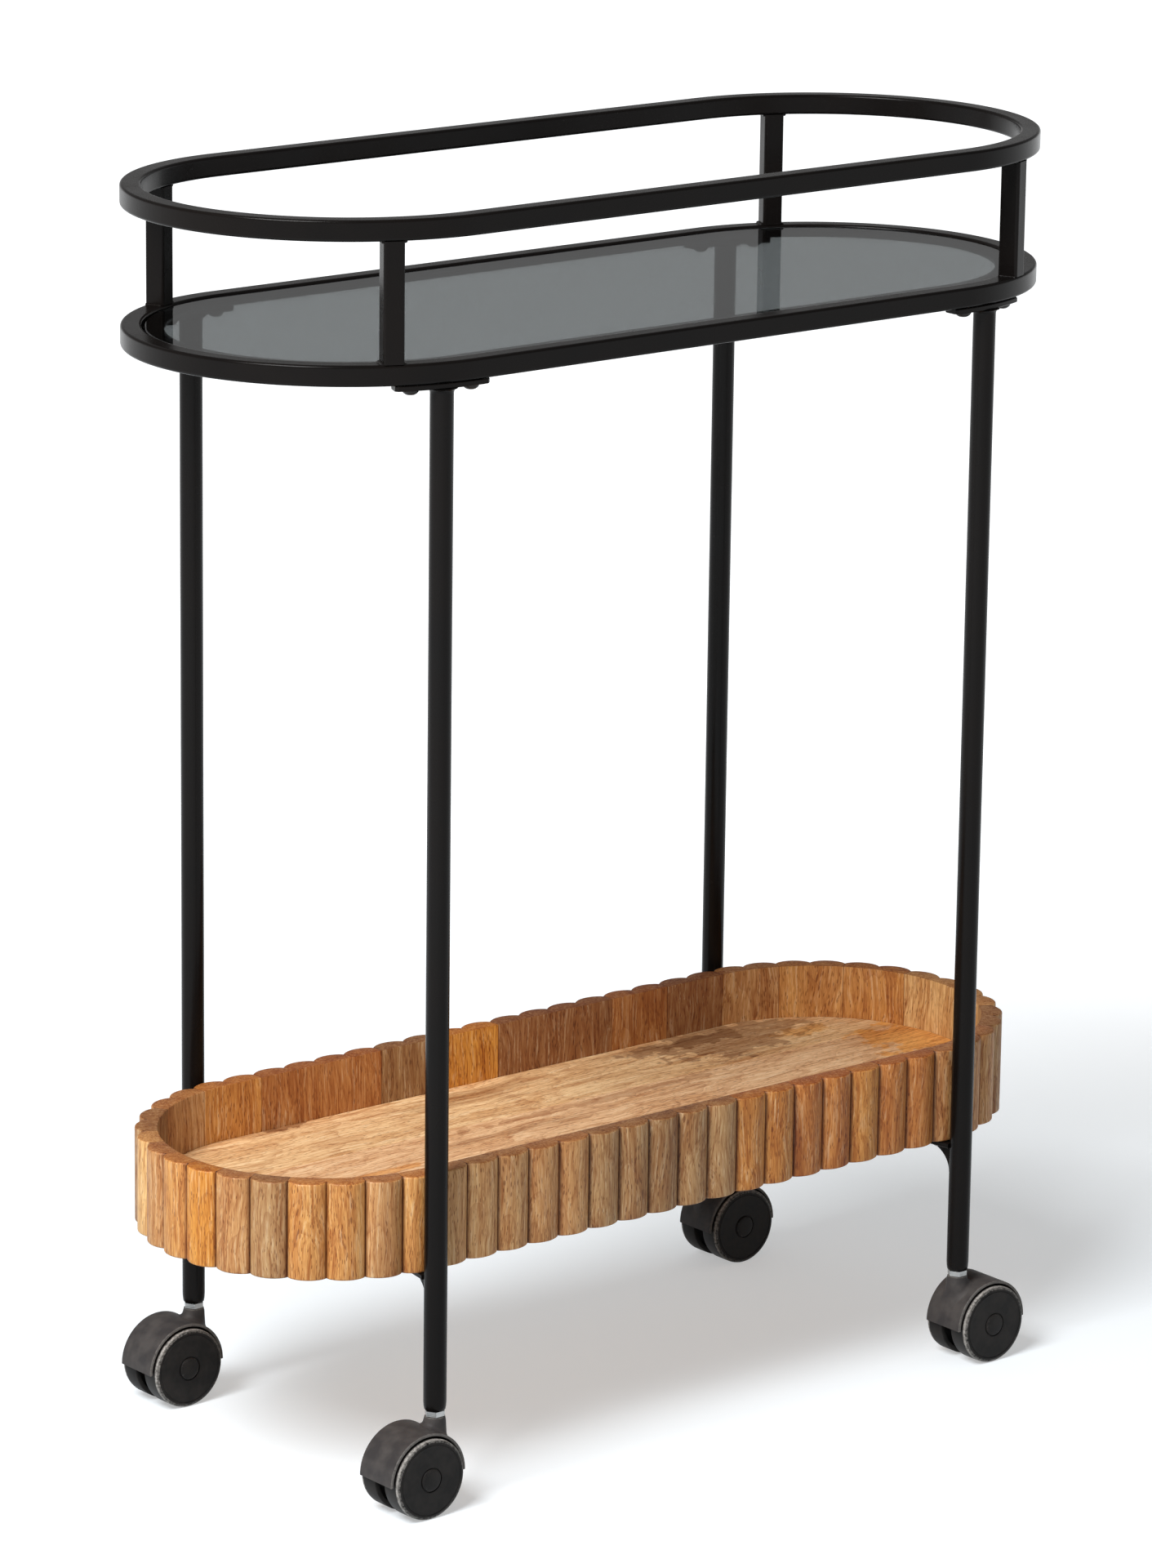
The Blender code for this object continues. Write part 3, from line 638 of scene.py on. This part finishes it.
def mango_wood(name, along, patches=()):
    """Oiled mango: coarse pores in short dark lines, soft growth rings, streaks of colour.

    along is the axis of the grain, 0 for X or 2 for Z. The mesh carries each block's tone,
    the shift of its grain, how near a point is to a valley, where blocks are glued, and which
    faces are outside. Outside, the colour is painted darker towards each valley as painted shade.
    A patch is a stain in one place: its centre, its reach each way, colour and strength.
    """
    material, tree, shader, place = new_material(name)
    told = {key: add(tree, "Attribute", attribute_name=key).outputs[output] for key,
            output in (("tone", "Color"), ("shift", "Vector"), ("valley", "Fac"), ("joint", "Fac"),
                       ("outside", "Fac"))}
    spot = add(tree, "VectorMath", [place, told["shift"]], operation="ADD")
    axes = add(tree, "SeparateXYZ", [spot])
    across_a, across_b, down = (axes.outputs[i] for i in ((1, 2, 0) if along == 0 else (0, 1, 2)))
    grain = add(tree, "CombineXYZ", [across_a, across_b, down])

    def stretched(line, across_mm, along_mm):
        """Grain coordinates in units of a pattern's size across and along the grain."""
        size = (millimetres(across_mm), millimetres(across_mm), millimetres(along_mm))
        return add(tree, "VectorMath", [line, size], operation="MULTIPLY")

    sway = add(tree, "TexNoise", {"Vector": stretched(grain, 30, 70), "Scale": 1.0, "Detail": 2.0})
    bend = add(tree, "VectorMath", [sway.outputs["Color"], (0.5, 0.5, 0.5)], operation="SUBTRACT")
    bend = add(tree, "VectorMath", [bend, (BEND, BEND, 0.0)], operation="MULTIPLY")
    bent = add(tree, "VectorMath", [grain, bend], operation="ADD")
    lean = add(tree, "Math", [down, LEAN], operation="MULTIPLY")
    lean = add(tree, "CombineXYZ", [lean, lean])
    leaning = add(tree, "VectorMath", [bent, lean], operation="ADD")
    flat = add(tree, "VectorMath", [leaning, (1.0, 1.0, 0.0)], operation="MULTIPLY")
    radius = add(tree, "VectorMath", [flat], operation="LENGTH").outputs["Value"]
    turns = add(tree, "Math", [radius, millimetres(RING_MM)], operation="MULTIPLY")
    season = add(tree, "Math", [turns], operation="FRACT")
    late = add(tree, "MapRange", [season, 0.55])
    late = add(tree, "Math", [late, 2.5], operation="POWER")

    wide, streaks, fibres, heart = (add(tree, "TexNoise", {"Vector": stretched(*size),
                                                           "Scale": 1.0, "Detail": detail,
                                                           "Roughness": roughness}) for size,
                                    detail, roughness in (((bent, 9, 120), 3.0, 0.6),
                                                          ((bent, 1.7, 55), 3.0, 0.65),
                                                          ((grain, 0.5, 7), 2.0, 0.5),
                                                          ((bent, 24, 150), 2.0, 0.5)))
    vessels = add(tree, "TexVoronoi", {"Vector": stretched(bent, *PORE_MM), "Scale": 1.0})
    crowd = add(tree, "MapRange", [wide, 0.35, 0.65, 0.20, 0.36])
    pore = add(tree, "Math", [crowd, vessels.outputs["Distance"]], operation="SUBTRACT")
    pore = add(tree, "MapRange", [pore, 0.0, 0.09])

    drift = add(tree, "TexNoise", {"Vector": place, "Scale": millimetres(11), "Detail": 4.0})
    drift = add(tree, "MapRange", [drift, 0.3, 0.7, -0.5, 0.5])
    stained = []
    for centre, reach, stain_colour, strength in patches:
        away = add(tree, "VectorMath", [place, centre], operation="SUBTRACT")
        away = add(tree, "VectorMath", [away, reach], operation="DIVIDE")
        away = add(tree, "VectorMath", [away], operation="LENGTH").outputs["Value"]
        away = add(tree, "Math", [away, drift], operation="ADD")
        stained.append((away, 1.0, 0.85, strength, stain_colour))
    facing = add(tree, "NewGeometry").outputs["Normal"]
    facing = add(tree, "SeparateXYZ", [facing]).outputs[along]
    end = add(tree, "Math", [facing], operation="ABSOLUTE")
    glue = add(tree, "Math", [told["joint"], 0.75], operation="MULTIPLY")

    # Each layer: the wood's tones and grain, dark glue lines, and a painted shade in the valleys.
    # For each: what drives it, the values where it starts and is full, its strength, colour.
    colour = told["tone"]
    for value, start, full, strength, layer_colour, *mode in (
            (wide, 0.42, 0.68, 0.7, "#D9BC9C"), (heart, 0.58, 0.74, 0.6, "#B39C86"),
            (streaks, 0.48, 0.72, 0.9, "#BF9670"),
            (streaks, 0.46, 0.26, 0.35, "#FFE9C4", "SCREEN"),
            (late, 0.0, 1.0, 0.34, "#B98A62"), (fibres, 0.40, 0.70, 0.6, "#C09A76"),
            (pore, 0.0, 1.0, 0.62, "#8A5E3C"), *stained, (end, 0.55, 0.9, 1.0, "#DCC8B8"),
            # Painted shade: the outside darkens towards each flute's valley.
            (told["valley"], 0.0016, 0.0, told["outside"], "#8C6A50"),
            (told["valley"], 0.0004, 0.0001, glue, "#8C6A50")):
        share = add(tree, "MapRange", [value, start, full, 0.0, strength])
        colour = add(tree, "MixRGB", [share, colour, linear(layer_colour)],
                     blend_type=mode[0] if mode else "MULTIPLY")
    rough = add(tree, "MapRange", [streaks, 0.3, 0.7, 0.46, 0.6])
    relief = add(tree, "Math", [fibres, pore], operation="SUBTRACT")
    bump = add(tree, "Bump", {"Height": relief, "Strength": 0.35, "Distance": 0.0002})
    feed(shader, {"Base Color": colour, "Roughness": rough, "Normal": bump,
                  "Specular IOR Level": 0.35})
    return material


tree, sizes = size_tree("fluted_wall", section="Object", rows="Int", flutes="Int", steps="Int",
                        depth="Float", material="Material")
net_spot = add(tree, "SeparateXYZ", [add(tree, "InputPosition")])
path = add(tree, "MeshToCurve", {"Mesh": sizes["base"]})
known = {**sizes, "x": net_spot.outputs["X"], "y": net_spot.outputs["Y"],
         "around": add(tree, "CurveLength", {"Curve": path})}
for name, operation, *values in (
        ("columns", "MULTIPLY_ADD", "flutes", "steps", 1.0),
        ("round share", "ADD", "x", 0.5), ("row share", "ADD", "y", 0.5),
        ("count", "MULTIPLY", "round share", "flutes"), ("flute", "FLOOR", "count"),
        ("later", "ADD", "count", 0.0001), ("part", "FRACT", "later"),
        ("share", "SUBTRACT", "part", 0.0001), ("swing", "MULTIPLY_ADD", "share", 2.0, -1.0),
        ("off crest", "ABSOLUTE", "swing"), ("hollow", "POWER", "off crest", 2.0),
        ("dome", "SUBTRACT", 1.0, "hollow"), ("bulge", "POWER", "dome", 0.75),
        ("swell", "MULTIPLY", "bulge", "depth"), ("pitch", "DIVIDE", "around", "flutes"),
        ("half pitch", "MULTIPLY", "pitch", 0.5), ("off valley", "SUBTRACT", 1.0, "off crest"),
        ("from valley", "MULTIPLY", "off valley", "half pitch"),
        ("last row", "SUBTRACT", "rows", 1.0), ("rise", "MULTIPLY", "row share", "last row"),
        ("row", "ROUND", "rise")):
    known[name] = add(tree, "Math", [known.get(value, value) for value in values],
                      operation=operation)
net = add(tree, "MeshGrid", {"Size X": 1.0, "Size Y": 1.0, "Vertices X": known["columns"],
                             "Vertices Y": sizes["rows"]})
kept = add(tree, "StoreNamedAttribute", {"Geometry": net, "Name": "flute",
                                         "Value": known["flute"]}, domain="FACE")
# How far a point is from the nearest valley: the wood uses it for the painted shade in the valleys
# and for glue lines.
kept = add(tree, "StoreNamedAttribute", {"Geometry": kept, "Name": "valley",
                                         "Value": known["from valley"]}, domain="POINT")
model = add(tree, "ObjectInfo", {"Object": sizes["section"]})
section = add(tree, "SampleIndex", {"Geometry": model.outputs["Geometry"],
                                    "Value": add(tree, "InputPosition"), "Index": known["row"]},
              data_type="FLOAT_VECTOR", domain="POINT")
section = add(tree, "SeparateXYZ", [section])
on_path = add(tree, "SampleCurve", {"Curves": path, "Factor": known["round share"]}, mode="FACTOR")
ahead = add(tree, "SeparateXYZ", [on_path.outputs["Tangent"]])
back = add(tree, "Math", [ahead.outputs["X"], -1.0], operation="MULTIPLY")
outwards = add(tree, "CombineXYZ", {"X": ahead.outputs["Y"], "Y": back})
reach = add(tree, "Math", [section.outputs["Y"], known["swell"], section.outputs["X"]],
            operation="MULTIPLY_ADD")
aside = add(tree, "VectorMath", {0: outwards, "Scale": reach}, operation="SCALE")
raised = add(tree, "CombineXYZ", {"Z": section.outputs["Z"]})
spot = add(tree, "VectorMath", [on_path.outputs["Position"], aside], operation="ADD")
spot = add(tree, "VectorMath", [spot, raised], operation="ADD")
shaped = add(tree, "SetPosition", {"Geometry": kept, "Position": spot})
close_tree(tree, shaped, sizes["material"])
fluted_wall = tree

low, high = WALL_LOW.z, WALL_HIGH.z
quarter = [math.pi / 2 * i / 4 for i in range(5)]
rows = [(-WALL_THICKNESS + INNER_EASE, 0.0, low)]
rows += [(-FLUTE_CUT - RIM_EASE * (1 - math.sin(a)), 1.0, low + RIM_EASE * (1 - math.cos(a)))
         for a in quarter]
rows += [(-FLUTE_CUT, 1.0, low + (high - low) * share) for share in (0.25, 0.5, 0.75)]
rows += [(-FLUTE_CUT - RIM_EASE * (1 - math.cos(a)), 1.0, high - RIM_EASE * (1 - math.sin(a)))
         for a in quarter]
rows += [(-WALL_THICKNESS + INNER_EASE, 0.0, high),
         (-WALL_THICKNESS + 0.3 * INNER_EASE, 0.0, high - 0.3 * INNER_EASE),
         (-WALL_THICKNESS, 0.0, high - INNER_EASE), (-WALL_THICKNESS, 0.0, low + INNER_EASE)]
rows.append(rows[0])
section_mesh = bpy.data.meshes.new("wall_section")
section_mesh.from_pydata(rows, [], [])
section_model = in_scene("wall_section", section_mesh)
path = pill_loop(VALLEY_RADIUS, 0.0, straight=TRAY_STRAIGHT)
path_mesh = outline_mesh("wall_path", [path[-1:] + path[:-1]])
wall = grown("fluted_wall", fluted_wall, path_mesh, section=section_model, rows=len(rows),
             flutes=FLUTES, steps=FLUTE_STEPS, depth=FLUTE_DEPTH + FLUTE_CUT,
             material=mango_wood("oiled_mango_upright", 2))
bpy.data.objects.remove(section_model)


def stain(mesh, rows):
    """Gives every face its block's tone, its grain's shift, glue line and side; outside faces take
    the painted shade in the valleys.
    """
    layers = (("tone", "FLOAT_COLOR", "color"), ("shift", "FLOAT_VECTOR", "vector"),
              ("joint", "FLOAT", "value"), ("outside", "FLOAT", "value"))
    for (name, kind, key), values in zip(layers, zip(*rows)):
        layer = mesh.attributes.new(name, kind, "FACE")
        for item, value in zip(layer.data, values):
            setattr(item, key, value)


dice = random.Random(11)
block_of = []               # for each flute: tone, its block's first flute, place of the pith
for name, width in BLOCKS:
    pith = (dice.uniform(0.012, 0.05), dice.uniform(0, 2 * math.pi), dice.uniform(-3, 3))
    block_of += [(linear(TONES[name]), len(block_of), *pith)] * width
starts = {first for _, first, *_ in block_of}
flute_of = [int(flute.value + 0.5) % FLUTES for flute in wall.attributes["flute"].data]
centres = {}
for face, index in zip(wall.polygons, flute_of):
    centres.setdefault(index, []).append(face.center)
middle_of = {index: sum(found, Vector()) / len(found) for index, found in centres.items()}
rows = []
for face, index in zip(wall.polygons, flute_of):
    tone, first, reach, angle, fall = block_of[index]
    centre = middle_of[first]
    shift = (reach * math.cos(angle) - centre.x, reach * math.sin(angle) - centre.y, fall)
    mate = middle_of[(index + 1) % FLUTES]
    past = (face.center - middle_of[index]).dot(mate - middle_of[index]) > 0
    core = Vector((max(-TRAY_STRAIGHT, min(TRAY_STRAIGHT, face.center.x)), 0))
    # Only outside faces take the painted shade in the valleys.
    outside = (face.center.xy - core).length > VALLEY_RADIUS - 0.003
    rows.append((tone, shift, float((index + past) % FLUTES in starts), float(outside)))
stain(wall, rows)
piece("fluted_wall", wall, replaced=["tray_wall"])


# ------------ tray floor
# Three boards of the same wood lie side by side inside the wall, their grain along the
# cart: straw-coloured at the back, tan in the middle and pinkish brown in front.
BOARD_EASE = 0.0004
FLOOR_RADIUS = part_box("floor_board_rear")[1].y
FLOOR_LOW, FLOOR_HIGH = (corner.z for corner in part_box("floor_board_middle"))
BOARD_TONES = {"front": "#F0C094", "middle": "#F6CB9C", "rear": "#FAD39F"}
STAINS = (((0.185, 0.078, 0.17), (0.066, 0.034, 1), "#C4B8B2", 0.9),   # figured heartwood
          ((0.175, 0.084, 0.17), (0.034, 0.011, 1), "#C0AC9C", 0.85),
          ((0.300, 0.008, 0.17), (0.055, 0.034, 1), "#FFE1A2", 0.95),    # golden end
          ((0.235, 0.060, 0.17), (0.024, 0.010, 1), "#F8DCA4", 0.7),
          ((-0.157, 0.100, 0.17), (0.018, 0.006, 1), "#B49C8C", 0.9),   # knot
          ((-0.163, -0.009, 0.17), (0.034, 0.004, 1), "#F0CE98", 0.8),
          ((0.025, 0.024, 0.17), (0.110, 0.005, 1), "#D4C2B4", 0.8))


def cut_off(outline, limit, side):
    """Part of an outline whose Y is above a limit, or below it where side is -1."""
    kept = []
    for (x0, y0, z), (x1, y1, _) in zip(outline, outline[1:] + outline[:1]):
        if side * (y0 - limit) >= 0:
            kept.append((x0, y0, z))
        if (y0 - limit) * (y1 - limit) < 0:
            share = (limit - y0) / (y1 - y0)
            kept.append((x0 + (x1 - x0) * share, limit, z))
    return kept


board_wood = mango_wood("oiled_mango_boards", 0, STAINS)
for index, (name, tone) in enumerate(BOARD_TONES.items()):
    board_low, board_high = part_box(f"floor_board_{name}")
    loops = []
    for inset, z in ((BOARD_EASE, FLOOR_LOW), (0.0, FLOOR_LOW + BOARD_EASE),
                     (0.0, FLOOR_HIGH - BOARD_EASE), (BOARD_EASE, FLOOR_HIGH)):
        outline = pill_loop(FLOOR_RADIUS, z, straight=TRAY_STRAIGHT)
        if name != "front":
            outline = cut_off(outline, board_low.y, 1)
        if name != "rear":
            outline = cut_off(outline, board_high.y, -1)
        centre = sum((Vector(p) for p in outline), Vector()) / len(outline)
        half = (board_high - board_low) / 2
        outline = [(centre.x + (x - centre.x) * (1 - inset / half.x),
                    centre.y + (y - centre.y) * (1 - inset / half.y), z) for x, y, _ in outline]
        loops.append(outline)
    board = swept(f"tray_board_{name}", loops)
    reach = (0.065, 0.11, 0.09)[index]
    shift = (0.37 * index, -reach / 2 - 0.04 * index, reach)
    stain(board, [(linear(tone), shift, 0.0, 0.0)] * len(board.polygons))
    valley = board.attributes.new("valley", "FLOAT", "POINT")
    for item in valley.data:
        item.value = 0.01
    board.materials.append(board_wood)
    piece(f"tray_board_{name}", board, replaced=[f"floor_board_{name}"])


# ------------ tray brackets
# A strip with a round end is welded to each leg under the tray, with a curved gusset
# below it. A zinc-plated screw goes up through the strip into the wall.
BRACKET_LOW, BRACKET_HIGH = (corner.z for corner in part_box("tray_bracket_front_left"))
BRACKET_STRIP = 0.003
BRACKET_HALF = 0.007
BRACKET_REACH = 0.034
GUSSET_HALF = 0.0025
GUSSET_REACH = 0.026
SCREW_INWARDS = RADIUS - VALLEY_RADIUS + WALL_THICKNESS / 2

top, base = BRACKET_HIGH, BRACKET_HIGH - BRACKET_STRIP
loops = []
for inset, z in ((0.0004, base), (0.0, base + 0.0004), (0.0, top - 0.0004), (0.0004, top)):
    half = BRACKET_HALF - inset
    tip = BRACKET_REACH - BRACKET_HALF
    root = LEG_RADIUS * 0.7
    loops.append([(half, root, z)]
                 + [(half * math.cos(math.pi * i / 20), tip + half * math.sin(math.pi * i / 20), z)
                    for i in range(21)] + [(-half, root, z)])
strip = swept("strip", loops)
curve = [(GUSSET_REACH - (GUSSET_REACH - LEG_RADIUS) * math.sin(a),
          base - (base - BRACKET_LOW) * (1 - math.cos(a)))
         for a in (math.pi / 2 * i / 16 for i in range(17))]
web = swept("web", [[(x, LEG_RADIUS * 0.7, base + 0.0002)] + [(x, y + inset, z + inset)
            for y, z in [(GUSSET_REACH, base + 0.0002)] + curve]
            + [(x, LEG_RADIUS * 0.7, BRACKET_LOW)]
            for x, inset in ((-GUSSET_HALF, 0.0), (-GUSSET_HALF * 0.8, -0.0004),
                             (GUSSET_HALF * 0.8, -0.0004), (GUSSET_HALF, 0.0))])
bracket = merged("bracket", [strip, web], steel)
for corner in CORNERS:
    piece(f"tray_bracket_{corner}_strap", placed(bracket, at_corner(corner, LEG_TURN)),
          replaced=[f"tray_bracket_{corner}"])


# ------------ zinc-plated hardware
# The tray's screws, the casters' threaded stems with their hexagon collars, the axle pins
# and the inserts inside the legs are steel, bright zinc-plated and lightly scratched.
def zinc_plate():
    """Bright zinc: a bluish silver with faint cloudy patches and fine turning marks."""
    material, tree, shader, place = new_material("bright_zinc_plate")
    cloud = add(tree, "TexNoise", {"Vector": place, "Scale": millimetres(4), "Detail": 3.0})
    marks = add(tree, "TexWave", {"Vector": place, "Scale": millimetres(2.4), "Distortion": 1.0,
                                  "Detail": 1.0}, bands_direction="Z")
    colour = add(tree, "MixRGB", [cloud, linear("#8E8F90"), linear("#BFC0BE")])
    rough = add(tree, "MapRange", [cloud, 0.0, 1.0, 0.22, 0.42])
    bump = add(tree, "Bump", {"Height": marks, "Strength": 0.2, "Distance": 0.0001})
    feed(shader, {"Base Color": colour, "Roughness": rough, "Normal": bump, "Metallic": 1.0})
    return material


zinc = zinc_plate()
seat = base - 0.0003
screw = button_head(0.0038, height=0.0022, shank=0.0018, length=0.0168, socket=0.0012)
spots = [at_corner(corner, LEG_TURN) @ Vector((0, SCREW_INWARDS, seat)) for corner in CORNERS]
piece("tray_screws", screws("tray_screws", screw, spots, zinc),
      replaced=[f"tray_screw_{corner}" for corner in CORNERS])
for corner in CORNERS:
    for part in ("caster_stem", "caster_axle", "threaded_insert"):
        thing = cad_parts[f"{part}_{corner}"]
        thing.data.materials.clear()
        thing.data.materials.append(zinc)


# ------------ caster hoods
# One moulding of black nylon for each caster: a half-round hood, a web between the two
# wheels with a knuckle round the axle, and a boss that the hood sweeps up into.
TRAIL = 0.0165              # from the stem to the axle
AXLE_HEIGHT = 0.025
HOOD_OUTER = 0.028
HOOD_INNER = 0.0262
HOOD_HALF = 0.0155
WEB_HALF = 0.004
LIP = 0.0007
BOSS_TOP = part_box("caster_hood_front_left")[1].z


def moulded_nylon(name, dark, light, scuff_and_highlight):
    """Glass-filled nylon: near-black and matt, cloudy, with pale scuffs; along marked edges the
    pale colour is partly wear and partly painted highlight.
    """
    material, tree, shader, place = new_material(name)
    cloud = add(tree, "TexNoise", {"Vector": place, "Scale": millimetres(9), "Detail": 2.0})
    grain = add(tree, "TexNoise", {"Vector": place, "Scale": millimetres(1.4), "Detail": 2.0})
    nicks = add(tree, "TexNoise", {"Vector": place, "Scale": millimetres(1.6), "Detail": 4.0,
                                   "Roughness": 0.7})
    edge_highlight_and_wear = add(tree, "Attribute", attribute_name="edge_highlight_and_wear").outputs["Fac"]
    cover = add(tree, "MapRange", [cloud, 0.35, 0.68])
    colour = add(tree, "MixRGB", [cover, linear(dark), linear(light)])
    # Along marked edges: pale colour for painted highlight and wear, broken up by noise.
    edge = add(tree, "Math", [edge_highlight_and_wear, nicks], operation="MULTIPLY")
    edge = add(tree, "MapRange", [edge, 0.22, 0.6])
    spots = add(tree, "MapRange", [nicks, 0.74, 0.80, 0.0, 0.6])
    marks = add(tree, "Math", [edge, spots], operation="MAXIMUM")
    colour = add(tree, "MixRGB", [marks, colour, linear(scuff_and_highlight)])
    rough = add(tree, "MapRange", [cloud, 0.0, 1.0, 0.42, 0.68])
    bump = add(tree, "Bump", {"Height": grain, "Strength": 0.03, "Distance": 0.0001})
    feed(shader, {"Base Color": colour, "Roughness": rough, "Normal": bump,
                  "Specular IOR Level": 0.16})
    return material


def mark_edge_highlight_and_wear(mesh, rule):
    """Marks, from 0 to 1 by its place, how much pale edge colour each point of a moulding gets:
    painted highlight together with wear.
    """
    layer = mesh.attributes.new("edge_highlight_and_wear", "FLOAT", "POINT")
    for item, vertex in zip(layer.data, mesh.vertices):
        item.value = rule(vertex.co)
    return mesh


def on_hood(x, rise=0.0):
    """Height of the hood's round top above a point in front of or behind the axle."""
    return AXLE_HEIGHT + math.sqrt((HOOD_OUTER + rise) ** 2 - (x - TRAIL) ** 2)


half = [(0.0015, WEB_HALF), (HOOD_INNER - 0.0012, WEB_HALF),
        (HOOD_INNER - 0.0003, WEB_HALF + 0.0003), (HOOD_INNER, WEB_HALF + 0.0012),
        (HOOD_INNER, HOOD_HALF - 0.0003), (HOOD_INNER + 0.0003, HOOD_HALF),
        (HOOD_OUTER - LIP, HOOD_HALF), (HOOD_OUTER - 0.3 * LIP, HOOD_HALF - 0.3 * LIP),
        (HOOD_OUTER, HOOD_HALF - LIP), (HOOD_OUTER, HOOD_HALF - 0.0015)]
section = half + [(r, -y) for r, y in reversed(half)]
shell = swept("hood_shell", [[(TRAIL + r * math.cos(a), y, AXLE_HEIGHT + r * math.sin(a))
                              for r, y in section]
                             for a in (math.pi * i / 56 for i in range(57))])
knuckle = turned("knuckle", [(0.0023, -WEB_HALF), (0.0056, -WEB_HALF), (0.0062, 0.0006 - WEB_HALF),
                             (0.0062, WEB_HALF - 0.0006), (0.0056, WEB_HALF), (0.0023, WEB_HALF)],
                 steps=40, closed=True)
knuckle.transform(Matrix.Translation((TRAIL, 0, AXLE_HEIGHT)) @ Matrix.Rotation(-math.pi / 2, 4,
                                                                                "X"))
ring = [(math.cos(math.pi * i / 28), math.sin(math.pi * i / 28)) for i in range(56)]
loops = [[(r * x, r * y, on_hood(r * x, rise)) for x, y in ring]
         for r, rise in ((0.0108, -0.0004), (0.0098, 0.00005), (0.0088, 0.0005), (0.0079, 0.0012),
                         (0.0072, 0.0022))]
loops += [[(r * x, r * y, z) for x, y in ring]
          for r, z in ((0.0067, BOSS_TOP - 0.0024), (0.0064, BOSS_TOP - 0.0012),
                       (0.0062, BOSS_TOP - 0.0004), (0.0057, BOSS_TOP), (0.0029, BOSS_TOP),
                       (0.0028, BOSS_TOP - 0.006))]
boss = swept("boss", loops)
hood_nylon = moulded_nylon("black_hood_nylon", "#383535", "#494543", "#6E6A66")
# Pale colour along the hood's side lips and on the boss top: painted highlight, together with
# wear.
hood = mark_edge_highlight_and_wear(merged("hood", [shell, knuckle, boss], hood_nylon),
                 lambda p: max(min(1.0, max(0.0, (abs(p.y) - HOOD_HALF + 0.0012) / 0.0008)),
                               0.8 * (p.z > BOSS_TOP - 0.0006)))
SWIVELS = {corner: Matrix.Translation(at_corner(corner, LEG_TURN).translation)
           @ Matrix.Rotation(0.0 if side > 0 else math.pi, 4, "Z")
           for corner, (side, _) in CORNERS.items()}       # the casters trail outwards
for corner in CORNERS:
    piece(f"hood_{corner}", placed(hood, SWIVELS[corner]), body=f"caster_{corner}",
          replaced=[f"caster_hood_{corner}"])


# ------------ caster wheels
# Solid nylon wheels, open behind. A cap over the axle stands a little proud, a fine groove
# runs round the face inside the rim, and the tread's edge, the face's rim and the cap's edge
# are painted pale: partly scuffs, partly painted highlight along these rounded edges.
WHEEL = 0.025
FACE = 0.0184               # outer face, from the middle of the pair
BACK = 0.0044

profile = [(0.0020, FACE + 0.0006), (0.0060, FACE + 0.00055), (0.0067, FACE + 0.0003),
           (0.0070, FACE - 0.0001), (0.0071, FACE - 0.0008), (0.0077, FACE - 0.0008),
           (0.0078, FACE - 0.0001), (0.0090, FACE), (0.0150, FACE - 0.0002), (0.0214, FACE),
           (0.0216, FACE - 0.0003), (0.0220, FACE - 0.0003), (0.0222, FACE),
           (0.0235, FACE - 0.0001), (0.0243, FACE - 0.0005), (0.0248, FACE - 0.0011),
           (WHEEL, FACE - 0.0020), (WHEEL, FACE - 0.0034), (WHEEL, BACK + 0.0008),
           (0.0247, BACK + 0.0002), (0.0243, BACK), (0.0222, BACK), (0.0222, FACE - 0.004),
           (0.0075, FACE - 0.004), (0.0075, BACK), (0.0023, BACK), (0.0023, 0.0153)]
wheel_nylon = moulded_nylon("grey_wheel_nylon", "#171514", "#292624", "#B5B0AA")
wheel = turned("wheel", profile, steps=72)
wheel.materials.append(wheel_nylon)
wheel.transform(Matrix.Rotation(-math.pi / 2, 4, "X"))
# Pale colour on the tread's edge, the face's rim and the cap's edge: painted highlight, together
# with scuffs.
mark_edge_highlight_and_wear(wheel, lambda p: max(
    0.9 * (math.hypot(p.x, p.z) > 0.0246 and abs(p.y) > FACE - 0.0030),
    0.6 * (0.0234 < math.hypot(p.x, p.z) < 0.0246 and abs(p.y) > FACE - 0.001),
    0.4 * (0.0058 < math.hypot(p.x, p.z) < 0.0069 and abs(p.y) > FACE)))
dice = random.Random(3)
for corner in CORNERS:
    for hand, side in (("a", math.pi), ("b", 0.0)):
        roll = Matrix.Rotation(dice.uniform(0, 6), 4, "Y")
        pose = (SWIVELS[corner] @ Matrix.Translation((TRAIL, 0, AXLE_HEIGHT))
                @ Matrix.Rotation(side, 4, "Z") @ roll)
        piece(f"wheel_{corner}_{hand}", placed(wheel, pose), body=f"wheel_{corner}_{hand}",
              replaced=[f"caster_wheel_{corner}_{hand}"])
